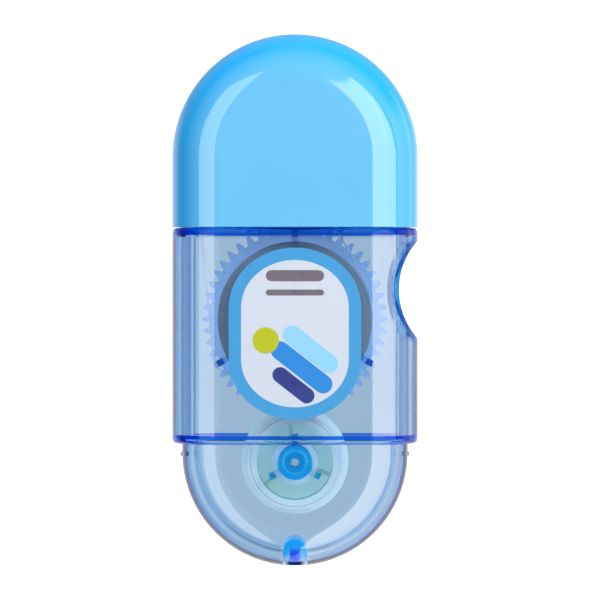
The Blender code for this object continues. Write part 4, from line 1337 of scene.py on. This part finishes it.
def make_world():
    """Light from all round, tuned so that the main view matches the photo. It is not a plain studio.

    A white backdrop stands behind the object, and softboxes stand beside the camera, in a dim room.
    Their brightness differs for light through the plastic, mirror reflections and diffuse light."""
    world = bpy.data.worlds.new("studio")
    bpy.context.scene.world = world
    world.use_nodes = True
    world.cycles.sampling_method = "NONE"
    tree = world.node_tree
    tree.nodes.clear()
    tree.nodes.new("ShaderNodeOutputWorld")
    direction = node(tree, "SeparateXYZ", Vector=node(tree, "TexCoord").outputs["Generated"]).outputs
    towards = product(tree, direction["Y"], -1.0)
    azimuth = calculate(tree, "ARCTAN2", direction["X"], towards)
    from_front = calculate(tree, "ARCCOSINE", towards)
    rise = calculate(tree, "ARCSINE", direction["Z"])
    path = node(tree, "LightPath").outputs
    through = path["Is Transmission Ray"]
    diffuse = path["Is Diffuse Ray"]

    def between(value, low, high, soft=0.02):
        return window(tree, value, *in_radians(low, high), soft)

    def under(value, limit, soft=0.02):
        edge = radians(limit)
        return remap(tree, value, edge - soft, edge + soft, 1.0, 0.0, smooth=True)

    slant = calculate(tree, "SUBTRACT", rise, product(tree, azimuth, 0.85))
    outward = total(tree, from_front, product(tree, highest(tree, rise, 0.0), 0.3))
    softboxes = total(
        tree,
        # A large box on the right, cut off along a slant, and a wide dim one beyond it.
        product(tree, 5.0, between(azimuth, 7, 120), under(outward, 66), under(slant, 12, 0.05)),
        product(tree, 1.9, between(azimuth, 10, 175), between(from_front, 69, 122), under(rise, 26, 0.22)),
        # One on the left.
        product(tree, 3.4, between(azimuth, -120, -14), under(from_front, 52), under(rise, 36)),
        # A thin strip on each side, for the lines on the rounded edges.
        product(tree, 3.0, between(azimuth, 41, 43, 0.035), between(rise, 4, 32, 0.14)),
        product(tree, 2.0, between(azimuth, -37, -35, 0.035), between(rise, 14, 30, 0.12)),
    )
    softboxes = product(tree, softboxes, remap(tree, through, 0.0, 1.0, 1.0, 0.15))

    # The room. It is dim, but brighter through the plastic, and there darker on the right.
    room = remap(tree, from_front, *in_radians(30, 95), 0.35, 0.85, smooth=True)
    room = product(tree, room, rest_of(tree, product(tree, direction["X"], 0.28)), through)
    dim = remap(tree, from_front, *in_radians(85, 125), 0.20, 0.45, smooth=True)
    light = total(tree, highest(tree, room, dim), softboxes)

    # The backdrop, low behind the object, and dimmer through the plastic.
    behind = remap(tree, calculate(tree, "ABSOLUTE", azimuth), *in_radians(100, 135), smooth=True)
    level = highest(tree, under(rise, 18, 0.3), highest(tree, through, 0.35))
    backdrop = product(tree, remap(tree, through, 0.0, 1.0, 1.3, 0.82), behind, level)
    light = highest(tree, light, backdrop)

    # Light on matte surfaces: a fill, a little stronger from above, from the right, from behind and
    # inside the case.
    level_fill = remap(tree, direction["Z"], -1.0, 1.0, 0.56, 0.74)
    fill = total(tree, level_fill, product(tree, direction["X"], 0.3), product(tree, behind, 0.2))
    inside = calculate(tree, "MINIMUM", path["Transparent Depth"], 1.0)
    extra = product(tree, inside, total(tree, product(tree, behind, 0.7), 0.6))
    soft_fill = product(tree, total(tree, fill, extra), diffuse)
    seen = product(tree, light, rest_of(tree, diffuse))
    light = highest(tree, total(tree, seen, soft_fill), path["Is Camera Ray"])

    # Mirror reflections of the room are a little blue, and the softboxes are a little warm.
    mirrored = product(tree, path["Is Glossy Ray"], rest_of(tree, through), rest_of(tree, behind))
    room_tone = mix_colour(tree, mirrored, (1.0, 1.0, 1.0), (0.74, 0.87, 1.0))
    warm = calculate(tree, "MINIMUM", product(tree, softboxes, 0.25), 1.0)
    tone = mix_colour(tree, warm, room_tone, (1.0, 0.94, 0.90))
    show(tree, node(tree, "Background", Color=tone, Strength=light))


def make_floor():
    """A large pale floor just under the foot. It glows, more strongly further from the foot: painted light
    that carries it into the white backdrop.
    """
    half = 40.0 * TOP_Z
    z = BOTTOM_Z - FLOOR_GAP
    builder = bmesh.new()
    corners = [(-half, -half, z), (half, -half, z), (half, half, z), (-half, half, z)]
    builder.faces.new([builder.verts.new(corner) for corner in corners])
    floor = add_object(builder, "floor")
    material, tree = empty_material("pale_floor")
    distance = node(tree, "VectorMath", {"operation": "LENGTH"})
    put(tree, distance.inputs[0], own_space(tree))
    # Painted light: the floor's glow grows with the distance from the object.
    painted_glow = remap(tree, distance.outputs["Value"], 1.1 * TOP_Z, 4.0 * TOP_Z, 0.62, 1.0, smooth=True)
    paper = mix_colour(tree, grain(tree, 60.0), (0.80, 0.81, 0.82), (0.86, 0.87, 0.88))
    matte = node(tree, "BsdfDiffuse", Color=paper)
    glow = node(tree, "Emission", Color=(1.0, 1.0, 1.0), Strength=painted_glow)
    show(tree, add_shaders(tree, matte, glow))
    floor.data.materials.append(material)
    floor.visible_glossy = False
    floor.visible_transmission = False
    floor.visible_diffuse = False


def add_light(name, place, size, power):
    lamp = bpy.data.lights.new(name, "AREA")
    lamp.shape = "DISK"
    lamp.size = size
    lamp.energy = power
    obj = place_object(name, lamp)
    obj.location = place
    obj.rotation_euler = (-Vector(place)).to_track_quat("-Z", "Y").to_euler()
    obj.visible_camera = False
    obj.visible_glossy = False
    obj.visible_transmission = False


def make_lights():
    add_light("key", (0.20, -0.26, 0.14), 0.16, 0.75)
    add_light("fill", (-0.24, -0.22, 0.10), 0.20, 0.22)
    add_light("top", (0.03, 0.02, 0.34), 0.20, 0.12)


def make_camera():
    camera = bpy.data.cameras.new("camera")
    camera.lens = LENS_PER_METRE * CAMERA_DISTANCE
    camera.sensor_width = 36.0
    camera.clip_start = 0.01
    camera.clip_end = 10.0
    obj = place_object("camera", camera)
    obj.location = (CAMERA_SIDE, -CAMERA_DISTANCE, 0.0)
    obj.rotation_euler = (radians(90), 0.0, 0.0)
    bpy.context.scene.camera = obj


def set_look():
    scene = bpy.context.scene
    scene.view_settings.view_transform = "Standard"
    scene.cycles.caustics_reflective = False
    scene.cycles.caustics_refractive = False
    scene.cycles.max_bounces = 24
    scene.cycles.transmission_bounces = 20
    scene.cycles.transparent_max_bounces = 24


# ---- assembly

paints = make_materials()
body = case_body()
make_front_shell(body, paints["clear"])
make_back_shell(body, paints["clear"])
bpy.data.objects.remove(body)
make_cap(paints["cap"])
make_label(paints)
rim_tint("top_rim_tint", *TOP_TINT_Z, TOP_TINT_INSET, paints["rim_tint"])
rim_tint("bottom_rim_tint", *BOTTOM_TINT_Z, TINT_INSET, paints["rim_tint"])
wall_tints(paints["wall_tint"], paints["line_tint"])
notch_tint(paints["notch_tint"])
supply_finger_tint(paints["finger_tint"])
pin_tint(paints["azure_tint"])
post_tint(paints["azure_tint"])
peg_tint(paints["peg_tint"])
make_supply_gear(paints["toothed"])
make_supply_core(paints["gear"])
make_supply_roll(paints["roll"])
make_takeup_reel(paints["mint"])
make_takeup_wrap(paints["tape"])
make_tape_strips(paints["tape"], paints["film"])
keep_node("clutch_ring", paints["rubber"], 0.04 * MM)
keep_node("tip_blade", paints["head"], NODE_ROUNDING)
keep_node("head_frame", paints["head"], NODE_ROUNDING)
for roller in ROLLERS:
    keep_node(roller, paints["gear"], NODE_ROUNDING)
make_world()
make_floor()
make_lights()
make_camera()
set_look()
